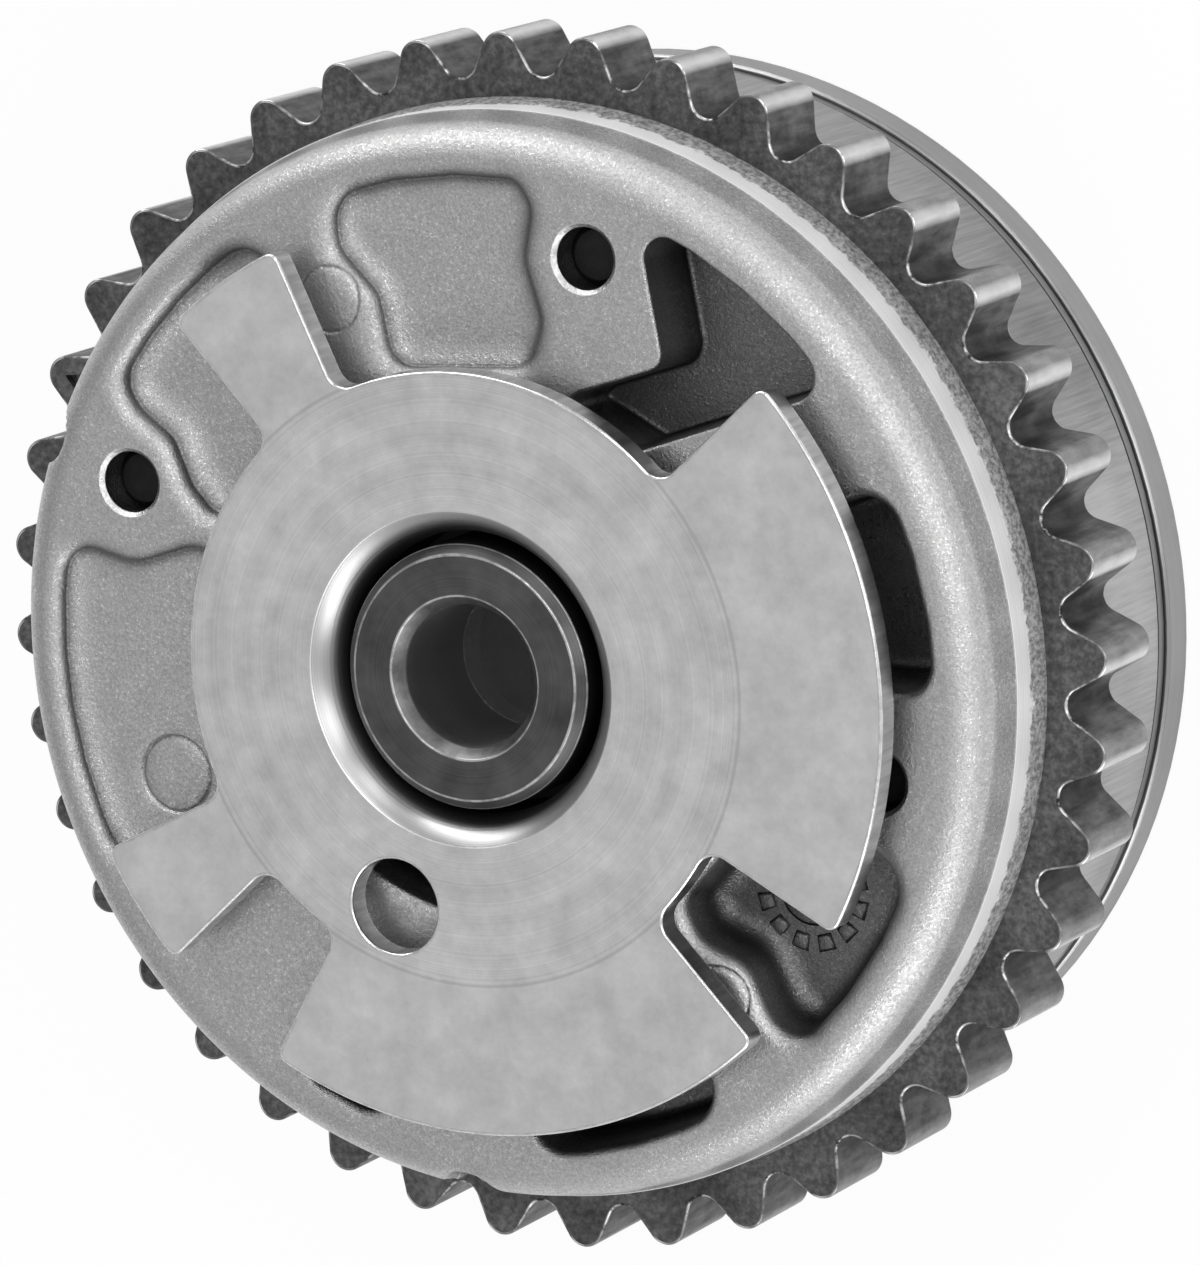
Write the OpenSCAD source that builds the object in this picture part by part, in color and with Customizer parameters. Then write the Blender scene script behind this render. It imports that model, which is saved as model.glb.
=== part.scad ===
// Vane-type cam phaser: chain ring, die-cast cover, drum, rotor, target wheel.
// Axis on +Z, rear face at z = 0, target wheel on top. Millimetres.

/* [Chain ring] */
// number of chain teeth
teeth = 40; // [38:1:44]
// chain pitch
chain_pitch = 8; // [7.7:0.1:8.4]
// drop from pitch circle to tooth root
root_drop = 2.63; // [2.3:0.01:2.9]
// rise from pitch circle to tooth tip
tip_rise = 1.07; // [0.8:0.01:1.3]
// radius of the rounded tooth tip
tip_round = 1.7; // [1.4:0.05:1.8]
// radius of the rounded tooth gap
gap_round = 1.5; // [1.3:0.05:1.6]
// axial width of the teeth
ring_w = 8.6; // [7.6:0.1:10]
// angle of the first tooth
tooth_phase = -1.2; // [-4:0.1:4]

/* [Housing] */
// thickness of the rear plate
rear_t = 3.5; // [3.4:0.1:5]
// thickness of the thin seal plate
seal_t = 1.5; // [1:0.1:2]
// length of the turned drum behind the teeth
drum_len = 13.1; // [11:0.1:15]
// height of the cover above the teeth
cover_h = 10.2; // [9.5:0.1:12]
// radius of the rounded cover rim
rim_round = 2.2; // [1.5:0.1:2.6]
// radius of the round opening in the cover
cover_bore_r = 21.2; // [20:0.1:22]
// radius of the camshaft opening in both rear plates
rear_bore_r = 16.5; // [15.5:0.1:17.5]

/* [Screws] */
// angle of the second clamp screw
screw_a0 = 69.6; // [69:0.1:70.5]
// angle between neighbouring screws on the narrow sectors
screw_step = 84.2; // [83.6:0.1:85]
// outer thread radius of the clamp screws
screw_r = 3; // [2.8:0.1:3.2]
// radius of the tapped hole wall in the cover
tap_r = 2.6; // [2.4:0.05:2.7]
// depth of the screw end below the cover face
screw_sink = 2.5; // [1.5:0.1:4]
// radius of the boss round each screw
boss_r = 5.3; // [4.8:0.1:5.6]

/* [Vanes] */
// swing of the rotor in degrees
swing = 25; // [20:0.5:26]
// half angle of each drum web
web_half = 15.5; // [14.5:0.1:16.5]
// free angle between vane and web at each stop
stop_gap = 0.8; // [0.75:0.05:1.2]
// angle covered by each narrow vane
vane_w = 22; // [18:0.5:24]
// hub radius of the rotor
hub_r = 24.5; // [23.8:0.1:25.5]
// running clearance of hub, vane tips and end faces
run_clr = 0.05; // [0.03:0.01:0.08]
// width of the tip seals
seal_w = 2; // [1.6:0.1:2.4]
// radial height of the tip seals
seal_h = 2.1; // [1.8:0.1:2.4]

/* [Lock pin] */
// radius of the lock pin body
pin_r = 4.5; // [4:0.1:4.8]
// distance of the lock pin from the axis
pin_c = 30.5; // [30:0.1:31]
// travel of the lock pin
pin_travel = 3.5; // [3:0.1:4]
// free gap between the lock pin tip and the seal plate
pin_gap = 0.4; // [0.35:0.05:0.6]

/* [Target wheel] */
// outer radius of the lobes
lobe_r = 38.7; // [37.5:0.1:39.5]
// radius between the lobes
disc_r = 25.8; // [25:0.1:27]
// sheet thickness
sheet_t = 2.4; // [2:0.1:2.8]
// air gap between wheel and cover
wheel_gap = 2; // [1.6:0.1:3]
// inner radius of the drawn collar
collar_r = 12; // [11.8:0.1:12.6]
// radius of the round hole in the disc
wheel_hole_r = 4.05; // [3.5:0.05:4.3]

/* [Centre] */
// radius of the cam bolt bore
bolt_bore_r = 6.05; // [5.6:0.05:6.3]
// gap between the centre bush and the collar
bush_gap = 0.8; // [0.5:0.1:1.4]
// radius of the camshaft nose recess in the rotor
nose_r = 15; // [14:0.1:15.3]
// depth of the camshaft nose recess
nose_d = 4; // [3:0.1:5]
// radius of the camshaft dowel hole
cam_dowel_r = 2; // [1.5:0.1:2.5]

/* [Hidden] */
$fn = 96;

// heights along the axis
z_seal = rear_t;
z_drum = rear_t + seal_t;
z_ring = z_drum + drum_len;
z_cover = z_ring + ring_w;
z_face = z_cover + cover_h;
z_wheel = z_face + wheel_gap;
z_top = z_wheel + sheet_t;
face_drop = 0.12;
// overlap that lets rounds and straight sides cross
lap = 0.03;

// radii of the chain ring and what is built round it
pitch_r = chain_pitch / (2 * sin(180 / teeth));
root_r = pitch_r - root_drop;
tip_r = pitch_r + tip_rise;
drum_r = root_r - 1.35;
rear_r = drum_r + 0.3;
seal_plate_r = drum_r - 0.15;
spigot_r = root_r - 5.85;
chamber_r = spigot_r - 3.5;
screw_c = spigot_r - 6.05;
rim_r = root_r - 2.1;
pocket_out = root_r - 7.05;
pocket_in = cover_bore_r + 4.8;
screw_hole_r = screw_r + 0.25;
head_r = 2 * screw_r - 0.3;
head_h = head_r - screw_r + 0.1;

// angles of screws, webs and vanes
screw_a = [screw_a0 - screw_step, screw_a0, screw_a0 + screw_step, screw_a0 - 2 * screw_step + 360];
vane_mid = [for (i = [0:3]) (screw_a[i] + (i == 3 ? screw_a[0] + 360 : screw_a[i + 1])) / 2 + swing / 2];
wide_w = 360 - 3 * screw_step - 2 * web_half - swing - 2 * stop_gap;
vane_span = [vane_w, vane_w, wide_w, vane_w];
vane_r = chamber_r - run_clr;
pin_a = vane_mid[2];
seal_a = [vane_mid[0], vane_mid[1], pin_a + wide_w * 0.32, vane_mid[3]];
rotor_z0 = z_drum + run_clr;
rotor_z1 = z_cover - run_clr;

// seal pieces
leaf_t = 0.3;
leaf_rise = 0.5;
leaf_len = 0.8 * (rotor_z1 - rotor_z0);
leaf_bend = (leaf_len * leaf_len / 4 + leaf_rise * leaf_rise) / (2 * leaf_rise);
slot_d = seal_h + leaf_rise + leaf_t;

// lock pin pieces
pin_z0 = z_drum + pin_gap;
pin_bore_r = pin_r + 0.05;
pin_nose_r = pin_r - 0.9;
pin_hole_r = pin_r - 1.3;
cap_r = pin_r + 1;
cap_t = 3;
spring_wire = 0.4;
spring_r = pin_hole_r - 0.3 - spring_wire;
spring_z0 = pin_z0 + 4;
spring_z1 = rotor_z1 - cap_t;
pin_len = spring_z1 - pin_z0 - pin_travel - 3.7;
seat_r = pin_r + 1;
seat_z0 = rear_t - 2.6;

// centre pieces
nose_z = z_cover + 2.8;
bush_r = collar_r - bush_gap;
flange_t = 2;
collar_t = 2;
lip_z = z_top - face_drop;
bush_top = z_top - 0.8;
oil_r = bolt_bore_r + 1.95;
dowel_r = 1.25;
wheel_dowel_c = bolt_bore_r + 3.75;
cam_dowel_c = nose_r - 3.8;
wheel_hole_c = disc_r - 4.9;

function pol(r, a) = [r * cos(a), r * sin(a)];
function unit(v) = v / norm(v);
function turn(d) = d > 180 ? d - 360 : d < -180 ? d + 360 : d;

// one rounded corner p1 between p0 and p2
function corner(p0, p1, p2, r, n) =
    r == 0 ? [p1] :
    let (u = unit(p0 - p1), v = unit(p2 - p1), h = acos(u * v) / 2)
    let (c = p1 + unit(u + v) * r / sin(h), s = p1 + u * r / tan(h), e = p1 + v * r / tan(h))
    let (b = atan2(s[1] - c[1], s[0] - c[0]), d = turn(atan2(e[1] - c[1], e[0] - c[0]) - b))
    [for (i = [0:n]) c + pol(r, b + d * i / n)];

// closed outline with a rounding radius for each point
function rounded(p, r, n) =
    let (m = len(p))
    [for (i = [0:m - 1]) each corner(p[(i + m - 1) % m], p[i], p[(i + 1) % m], r[i], n)];

// pie slice for spans under 180 degrees
module wedge(a1, a2, r) {
    polygon([[0, 0], pol(2 * r, a1), pol(2 * r, (a1 + a2) / 2), pol(2 * r, a2)]);
}

module tube(r1, r2, h) {
    difference() {
        cylinder(r = r2, h = h);
        translate([0, 0, -1])
            cylinder(r = r1, h = h + 2);
    }
}

// holes and screws share these four places
module at_screws() {
    for (a = screw_a)
        rotate(a)
            translate([screw_c, 0, 0])
                children();
}

module at_pin() {
    rotate(pin_a)
        translate([pin_c, 0, 0])
            children();
}

module at_dowel() {
    rotate(screw_a[0] + screw_step / 2)
        translate([spigot_r + 1.9, 0, 0])
            children();
}

module rear_plate() {
    color([0.52, 0.53, 0.54])
        difference() {
            rotate_extrude()
                polygon([[0, 0], [rear_r, 0], [rear_r, rear_t - 0.25], [rear_r - 0.25, rear_t], [0, rear_t]]);
            translate([0, 0, -1])
                cylinder(r = rear_bore_r, h = rear_t + 2);
            at_screws() {
                translate([0, 0, -1])
                    cylinder(r = screw_r, h = rear_t + 2);
                translate([0, 0, 0.1])
                    cylinder(r1 = head_r, r2 = screw_r, h = head_h);
                translate([0, 0, -1])
                    cylinder(r = head_r, h = 1.1);
            }
            at_pin()
                translate([0, 0, seat_z0])
                    cylinder(r = seat_r, h = rear_t);
        }
}

module seal_plate() {
    color([0.62, 0.62, 0.6])
        translate([0, 0, z_seal])
            difference() {
                cylinder(r = seal_plate_r, h = seal_t);
                translate([0, 0, -1])
                    cylinder(r = rear_bore_r, h = seal_t + 2);
                at_screws()
                    translate([0, 0, -1])
                        cylinder(r = screw_hole_r, h = seal_t + 2);
                at_pin()
                    translate([0, 0, -1])
                        cylinder(r = seat_r, h = seal_t + 2);
            }
}

// open space of the four chambers and the hub
module chambers() {
    circle(r = hub_r + run_clr);
    for (i = [0:3])
        intersection() {
            circle(r = chamber_r);
            wedge(screw_a[i] + web_half, (i == 3 ? screw_a[0] + 360 : screw_a[i + 1]) - web_half, chamber_r);
        }
}

module stator() {
    color([0.68, 0.69, 0.7])
        difference() {
            rotate_extrude()
                polygon([[0, z_drum], [drum_r - 0.3, z_drum], [drum_r, z_drum + 0.3], [drum_r, z_ring],
                    [spigot_r, z_ring], [spigot_r, z_cover], [0, z_cover]]);
            translate([0, 0, z_drum - 1])
                linear_extrude(height = drum_len + ring_w + 2)
                    chambers();
            at_screws()
                translate([0, 0, z_drum - 1])
                    cylinder(r = screw_hole_r, h = drum_len + ring_w + 2);
            for (a = screw_a)
                rotate(a)
                    translate([hub_r, -seal_w / 2, z_drum - 1])
                        cube([run_clr + 0.02 + slot_d, seal_w, drum_len + ring_w + 2]);
            at_dowel()
                translate([0, 0, z_ring - 3])
                    cylinder(r = dowel_r, h = 4);
        }
}

// tooth outline: round tips and gaps joined by straight flanks that cut a little into both
module tooth_ring() {
    half = 180 / teeth;
    tip_c = [tip_r - tip_round, 0];
    gap_c = pol(root_r + gap_round, half);
    d = gap_c - tip_c;
    n_a = atan2(d[1], d[0]) - acos((tip_round + gap_round - 2 * lap) / norm(d));
    t_tip = tip_c + pol(tip_round - lap, n_a);
    t_gap = gap_c - pol(gap_round - lap, n_a);
    foot = gap_c - pol(gap_round - 0.35, (n_a + half) / 2);
    heel = pol(root_r - 0.5, half * 0.85);
    difference() {
        union() {
            circle(r = root_r + 0.3);
            for (i = [0:teeth - 1])
                rotate(tooth_phase + i * 2 * half) {
                    translate(tip_c)
                        circle(r = tip_round, $fn = 48);
                    polygon([[t_tip[0], -t_tip[1]], t_tip, t_gap, foot, heel,
                        [heel[0], -heel[1]], [foot[0], -foot[1]], [t_gap[0], -t_gap[1]]]);
                }
        }
        for (i = [0:teeth - 1])
            rotate(tooth_phase + (2 * i + 1) * half)
                translate([root_r + gap_round, 0])
                    circle(r = gap_round, $fn = 48);
    }
}

module sprocket() {
    mark_a = tooth_phase + 17 * 360 / teeth;
    color([0.3, 0.3, 0.3])
        difference() {
            translate([0, 0, z_ring])
                linear_extrude(height = ring_w)
                    tooth_ring();
            translate([0, 0, z_ring - 1])
                cylinder(r = spigot_r, h = ring_w + 2);
            at_dowel()
                translate([0, 0, z_ring - 1])
                    cylinder(r = dowel_r, h = ring_w + 2);
            rotate(mark_a)
                translate([root_r + 0.2, 0, z_cover - 0.8])
                    linear_extrude(height = 2)
                        polygon([[1.9, 0], [-0.3, 1.2], [-0.3, -1.2]]);
        }
}

// pocket outlines: share of the way from inner to outer radius, angle, rounding
pockets = [
    [2.0, [[0.03, 74.4, 2.6], [0.66, 78.9, 5], [1, 79.6, 2.6], [1, 105.4, 3], [0.7, 106.6, 4],
        [0.4, 102.6, 3.5], [0.02, 104.2, 2.4]]],
    [2.6, [[0.01, 118, 2], [1, 117, 3], [1, 143.4, 3], [0.7, 143.6, 4], [0.36, 148.2, 4],
        [0.01, 152.6, 1.5]]],
    [2.0, [[0.01, 158.4, 1.5], [0.24, 159.4, 4], [0.56, 164.9, 5], [1, 164.4, 2.6], [1, 205, 3],
        [0.01, 205, 2.5]]],
    [7.0, [[-0.15, 49.5, 1], [1, 33.8, 2.2], [1, 64.4, 1.8], [0.37, 52.6, 1.6], [-0.03, 64.5, 0.8],
        [-0.15, 67, 0.8]]],
    [8.0, [[0.07, -2, 2], [0.98, -3, 2.6], [0.98, 21.4, 3], [0.07, 24, 2]]],
    [6.0, [[-0.03, 309.6, 1.8], [0.17, 307.5, 3], [0.45, 311.2, 3.5], [0.76, 308.6, 3.5], [0.97, 309.6, 2.4],
        [0.97, 334.6, 3.2], [0.6, 337, 4], [-0.03, 331, 2]]],
    [8.0, [[0.07, 270.4, 2], [1, 270.4, 3], [1, 297.6, 3], [0.6, 296.4, 3], [0.07, 297.6, 2]]],
    [6.0, [[0.3, 238.4, 2], [1, 238.4, 2.2], [1, 250.4, 2.2], [0.3, 250.4, 2]]]];

// round ejector marks: angle, share of the way out, radius, drop below the cover face
ejectors = [[110.3, 0.484, 2.75, 0.2], [196.4, 0.49, 3.3, 2.2], [304.6, 0.5, 2.75, 0.2]];

function pocket_r(t) = pocket_in + t * (pocket_out - pocket_in);

// straight sides, with points added along sides that follow the rim
module pocket_2d(list) {
    m = len(list);
    pts = [for (i = [0:m - 1])
        let (p = list[i], q = list[(i + 1) % m])
        let (k = p[0] == q[0] ? max(1, floor(abs(q[1] - p[1]) * pocket_r(p[0]) / 270)) : 1)
        each [for (j = [0:k - 1]) [pocket_r(p[0]), p[1] + (q[1] - p[1]) * j / k, j == 0 ? p[2] : 0]]];
    polygon(rounded([for (p = pts) pol(p[0], p[1])], [for (p = pts) p[2]], 6));
}

module cover_profile() {
    c = [rim_r - 3.05, cover_h - rim_round];
    e = [rim_r - 0.1, 4.9];
    d = c - e;
    a = atan2(d[1], d[0]) - asin(rim_round / norm(d));
    t = e + sqrt(d * d - rim_round * rim_round) * [cos(a), sin(a)];
    polygon([[cover_bore_r, 0], [rim_r + 0.35, 0], [rim_r + 0.1, 2], [rim_r, 2], [rim_r, 4.9], e, t, c,
        [c[0], cover_h], [cover_bore_r, cover_h]]);
    translate(c)
        circle(r = rim_round);
}

module front_cover() {
    color([0.66, 0.67, 0.68])
        translate([0, 0, z_cover])
            difference() {
                rotate_extrude()
                    cover_profile();
                for (p = pockets)
                    translate([0, 0, cover_h - p[0]])
                        linear_extrude(height = p[0] + 1)
                            difference() {
                                pocket_2d(p[1]);
                                at_screws()
                                    circle(r = boss_r);
                            }
                for (e = ejectors)
                    rotate(e[0])
                        translate([pocket_r(e[1]), 0, cover_h - e[3]])
                            cylinder(r = e[2], h = e[3] + 1);
                at_screws() {
                    translate([0, 0, -1])
                        cylinder(r = tap_r, h = cover_h + 2);
                    translate([0, 0, cover_h - 0.7])
                        cylinder(r1 = tap_r, r2 = tap_r + 1, h = 1);
                }
                for (i = [2, 3])
                    rotate(screw_a[i])
                        translate([rim_r + 0.65, 0, -1])
                            cylinder(r = 3.2, h = cover_h + 2);
                at_dowel()
                    translate([0, 0, -1])
                        cylinder(r = dowel_r, h = 4);
            }
}

// flat head with six-lobed drive, clearance shank, thread at its minor radius
module clamp_screw() {
    difference() {
        rotate_extrude()
            polygon([[0, 0.1], [head_r, 0.1], [screw_r, 0.1 + head_h], [screw_r, z_cover], [tap_r, z_cover],
                [tap_r, z_face - screw_sink - 0.5], [tap_r - 0.5, z_face - screw_sink],
                [0, z_face - screw_sink]]);
        translate([0, 0, -1])
            linear_extrude(height = 3)
                difference() {
                    circle(r = 0.46 * head_r);
                    for (i = [0:5])
                        rotate(30 + 60 * i)
                            translate([0.52 * head_r, 0])
                                circle(r = 0.12 * head_r, $fn = 32);
                }
    }
}

module clamp_screws() {
    color([0.16, 0.16, 0.17])
        at_screws()
            clamp_screw();
}

module locating_dowel() {
    color([0.6, 0.6, 0.62])
        at_dowel()
            translate([0, 0, z_ring - 3])
                cylinder(r = dowel_r, h = ring_w + 6);
}

module lock_pin_seat() {
    color([0.45, 0.45, 0.46])
        at_pin()
            translate([0, 0, seat_z0])
                difference() {
                    cylinder(r = seat_r, h = z_drum - seat_z0);
                    translate([0, 0, 0.8])
                        cylinder(r = pin_nose_r + 0.15, h = z_drum);
                }
}

module leaf_spring() {
    intersection() {
        translate([leaf_bend, seal_w / 2, 0])
            rotate([90, 0, 0])
                linear_extrude(height = seal_w)
                    difference() {
                        circle(r = leaf_bend, $fn = 192);
                        circle(r = leaf_bend - leaf_t, $fn = 192);
                    }
        translate([-1, -seal_w, -leaf_len / 2])
            cube([leaf_rise + leaf_t + 1, 2 * seal_w, leaf_len]);
    }
}

mid_z = (rotor_z0 + rotor_z1) / 2;

module web_seal(i) {
    color([0.12, 0.12, 0.13])
        rotate(screw_a[i - 1])
            translate([hub_r + run_clr, -seal_w / 2, rotor_z0])
                cube([seal_h, seal_w, rotor_z1 - rotor_z0]);
}

module web_seal_spring(i) {
    color([0.7, 0.7, 0.72])
        rotate(screw_a[i - 1])
            translate([hub_r + run_clr + seal_h, 0, mid_z])
                leaf_spring();
}

// hub, vanes, bores and oil drillings
module rotor() {
    color([0.42, 0.42, 0.43])
        difference() {
            union() {
                translate([0, 0, rotor_z0])
                    linear_extrude(height = rotor_z1 - rotor_z0)
                        union() {
                            circle(r = hub_r);
                            for (i = [0:3])
                                intersection() {
                                    circle(r = vane_r);
                                    wedge(vane_mid[i] - vane_span[i] / 2, vane_mid[i] + vane_span[i] / 2,
                                        vane_r);
                                }
                        }
                translate([0, 0, mid_z])
                    cylinder(r = cover_bore_r - 3.2, h = nose_z - mid_z);
            }
            translate([0, 0, rotor_z0 - 1])
                cylinder(r = nose_r, h = nose_d + 1);
            translate([0, 0, rotor_z0])
                cylinder(r = oil_r, h = rotor_z1 - rotor_z0);
            translate([0, 0, rotor_z0])
                cylinder(r = bolt_bore_r, h = nose_z);
            rotate(pin_a + 180)
                translate([cam_dowel_c, 0, rotor_z0])
                    cylinder(r = cam_dowel_r, h = nose_d + 6);
            for (i = [0:3]) {
                rotate(seal_a[i])
                    translate([vane_r - slot_d, -seal_w / 2, rotor_z0 - 1])
                        cube([slot_d + 1, seal_w, rotor_z1 - rotor_z0 + 2]);
                rotate(vane_mid[i] - vane_span[i] / 2 - 4)
                    translate([nose_r - 2, 0, rotor_z0 + nose_d / 2])
                        rotate([0, 90, 0])
                            cylinder(r = 1.3, h = hub_r, $fn = 32);
                rotate(vane_mid[i] + vane_span[i] / 2 + 4)
                    translate([oil_r - 1, 0, mid_z])
                        rotate([0, 90, 0])
                            cylinder(r = 1.3, h = hub_r, $fn = 32);
            }
            at_pin() {
                translate([0, 0, rotor_z0 - 1])
                    cylinder(r = pin_bore_r, h = rotor_z1);
                translate([0, 0, rotor_z1 - cap_t])
                    cylinder(r = cap_r, h = cap_t + 1);
            }
            rotate(pin_a)
                translate([wheel_dowel_c, 0, nose_z - 4])
                    cylinder(r = dowel_r, h = 6);
        }
}

module vane_seal(i) {
    color([0.12, 0.12, 0.13])
        rotate(seal_a[i - 1])
            translate([vane_r - seal_h, -seal_w / 2, rotor_z0])
                cube([seal_h, seal_w, rotor_z1 - rotor_z0]);
}

module vane_seal_spring(i) {
    color([0.7, 0.7, 0.72])
        rotate(seal_a[i - 1])
            translate([vane_r - seal_h, 0, mid_z])
                rotate(180)
                    leaf_spring();
}

// hollow steel pin with a tapered nose towards the seal plate
module lock_pin() {
    color([0.5, 0.5, 0.52])
        at_pin()
            rotate_extrude()
                polygon([[0, pin_z0], [pin_nose_r - 0.4, pin_z0], [pin_nose_r, pin_z0 + 1],
                    [pin_nose_r, pin_z0 + 3], [pin_r, pin_z0 + 3],
                    [pin_r, pin_z0 + pin_len], [pin_hole_r, pin_z0 + pin_len],
                    [pin_hole_r, spring_z0], [0, spring_z0]]);
}

// coil of stacked rings joined by a thin inner sleeve
module lock_pin_spring() {
    turns = 9;
    step = (spring_z1 - spring_z0 - 2 * spring_wire) / (turns - 1);
    color([0.66, 0.66, 0.68])
        at_pin()
            union() {
                for (i = [0:turns - 1])
                    translate([0, 0, spring_z0 + spring_wire + i * step])
                        rotate_extrude($fn = 48)
                            translate([spring_r, 0])
                                circle(r = spring_wire, $fn = 16);
                translate([0, 0, spring_z0 + spring_wire])
                    tube(spring_r - spring_wire / 2, spring_r, spring_z1 - spring_z0 - 2 * spring_wire);
            }
}

// disc that closes the pin bore, with a vent
module lock_pin_cap() {
    color([0.58, 0.58, 0.6])
        at_pin()
            translate([0, 0, rotor_z1 - cap_t])
                tube(1, cap_r, cap_t);
}

// lobe edges: start and end angle
lobes = [[-32.8, 38.6], [111, 128.4], [202.4, 218.6], [237, 309]];
root_fillet = 1.8;
tip_fillet = 1.0;

// small fillet piece at the root (out = 1) or tip (out = -1) of a lobe edge on the x axis
module edge_fillet(r, f, side, out) {
    c = [sqrt((r + out * f) * (r + out * f) - f * f), side * f];
    t = c * r / (r + out * f);
    k = out > 0 ? 0.97 : 1.03;
    difference() {
        polygon([c, [c[0], -side * 0.3], [r * k, -side * 0.3], t * k]);
        translate(c)
            circle(r = f + lap, $fn = 48);
    }
}

module wheel_outline() {
    difference() {
        union() {
            circle(r = disc_r);
            for (e = lobes) {
                intersection() {
                    circle(r = lobe_r);
                    wedge(e[0], e[1], lobe_r);
                }
                rotate(e[0])
                    edge_fillet(disc_r, root_fillet, -1, 1);
                rotate(e[1])
                    edge_fillet(disc_r, root_fillet, 1, 1);
            }
        }
        for (e = lobes) {
            rotate(e[0])
                edge_fillet(lobe_r, tip_fillet, 1, -1);
            rotate(e[1])
                edge_fillet(lobe_r, tip_fillet, -1, -1);
        }
        circle(r = collar_r + collar_t);
        rotate(247)
            translate([wheel_hole_c, 0])
                circle(r = wheel_hole_r);
    }
}

// deep-drawn target wheel: lobed plate, collar, and a base clamped by the bush
module reluctor_wheel() {
    color([0.6, 0.6, 0.61])
        difference() {
            union() {
                translate([0, 0, z_wheel])
                    linear_extrude(height = sheet_t)
                        wheel_outline();
                rotate_extrude()
                    difference() {
                        union() {
                            polygon([[bolt_bore_r, nose_z], [collar_r + collar_t, nose_z],
                                [collar_r + collar_t, lip_z], [collar_r, lip_z - collar_t],
                                [collar_r, nose_z + flange_t], [bolt_bore_r, nose_z + flange_t]]);
                            intersection() {
                                translate([collar_r + collar_t, lip_z - collar_t])
                                    circle(r = collar_t);
                                translate([collar_r, lip_z - collar_t])
                                    square(collar_t);
                            }
                        }
                    }
            }
            translate([0, 0, z_top - face_drop])
                cylinder(r = disc_r + 0.1, h = 1);
            rotate(pin_a)
                translate([wheel_dowel_c, 0, nose_z - 1])
                    cylinder(r = dowel_r, h = flange_t + 2);
        }
}

module reluctor_dowel() {
    color([0.6, 0.6, 0.62])
        rotate(pin_a)
            translate([wheel_dowel_c, 0, nose_z - 4])
                cylinder(r = dowel_r, h = 4 + flange_t);
}

module centre_bush() {
    color([0.2, 0.2, 0.21])
        rotate_extrude()
            polygon([[bolt_bore_r, nose_z + flange_t], [bush_r, nose_z + flange_t], [bush_r, bush_top - 0.8],
                [bush_r - 0.8, bush_top], [bolt_bore_r + 0.85, bush_top], [bolt_bore_r, bush_top - 1.1]]);
}

rear_plate();
seal_plate();
stator();
sprocket();
front_cover();
clamp_screws();
locating_dowel();
lock_pin_seat();
for (i = [1:4])
    web_seal(i);
for (i = [1:4])
    web_seal_spring(i);
rotor();
for (i = [1:4])
    vane_seal(i);
for (i = [1:4])
    vane_seal_spring(i);
lock_pin();
lock_pin_spring();
lock_pin_cap();
reluctor_wheel();
reluctor_dowel();
centre_bush();
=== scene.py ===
import math

import bpy
import numpy as np
from mathutils import Matrix, Vector
from mathutils.geometry import delaunay_2d_cdt, tessellate_polygon


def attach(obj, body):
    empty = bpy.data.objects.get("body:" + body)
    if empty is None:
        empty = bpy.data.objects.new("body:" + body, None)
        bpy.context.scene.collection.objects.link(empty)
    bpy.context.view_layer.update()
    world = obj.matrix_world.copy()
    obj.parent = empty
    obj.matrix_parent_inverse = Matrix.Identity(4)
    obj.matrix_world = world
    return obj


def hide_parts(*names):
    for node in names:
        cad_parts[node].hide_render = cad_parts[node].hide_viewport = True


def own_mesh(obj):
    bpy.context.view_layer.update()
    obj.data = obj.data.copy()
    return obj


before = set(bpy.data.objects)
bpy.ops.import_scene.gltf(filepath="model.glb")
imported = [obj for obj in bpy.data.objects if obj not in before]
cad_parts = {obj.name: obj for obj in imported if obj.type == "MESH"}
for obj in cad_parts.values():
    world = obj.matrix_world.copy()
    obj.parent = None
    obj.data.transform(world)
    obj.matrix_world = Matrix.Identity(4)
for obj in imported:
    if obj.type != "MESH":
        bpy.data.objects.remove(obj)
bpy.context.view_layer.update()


# Rear plate: the steel disc that closes the housing behind the drum and lies on the bench.
# It is blanked from plate, faced on a lathe and held by four flat-head screws from behind.
def fill(tree, socket, value):
    """Links a node's output to a socket, or sets the socket's own value."""
    if isinstance(value, bpy.types.NodeSocket):
        tree.links.new(value, socket)
    else:
        socket.default_value = value


def put(tree, kind, props=None, **inputs):
    """Adds a shader node; inputs are named by socket, with _ for a space, or i0, i1 by place."""
    made = tree.nodes.new("ShaderNode" + kind)
    for key, value in (props or {}).items():
        setattr(made, key, value)
    for key, value in inputs.items():
        by_place = key[0] == "i" and key[1:].isdigit()
        fill(tree, made.inputs[int(key[1:]) if by_place else key.replace("_", " ")], value)
    return made


def shader_group(name, ins, outs):
    """An empty node group with named sockets, and the sockets to wire inside it."""
    tree = bpy.data.node_groups.new(name, "ShaderNodeTree")
    for label, kind, value in ins:
        tree.interface.new_socket(label, in_out="INPUT", socket_type=kind).default_value = value
    for label, kind in outs:
        tree.interface.new_socket(label, in_out="OUTPUT", socket_type=kind)
    return tree, tree.nodes.new("NodeGroupInput").outputs, tree.nodes.new("NodeGroupOutput").inputs


def calc(tree, operation, *values, clamp=False):
    inputs = {f"i{n}": v for n, v in enumerate(values)}
    return put(tree, "Math", {"operation": operation, "use_clamp": clamp}, **inputs).outputs[0]


def weigh(tree, a, a_share, b, b_share):
    return calc(tree, "ADD", calc(tree, "MULTIPLY", a, a_share), calc(tree, "MULTIPLY", b, b_share))


def remap(tree, value, low, high, to_low=0.0, to_high=1.0):
    """Carries a value from one range to another, held at both ends."""
    made = put(tree, "MapRange", Value=value, From_Min=low, From_Max=high, To_Min=to_low, To_Max=to_high)
    return made.outputs[0]


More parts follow.
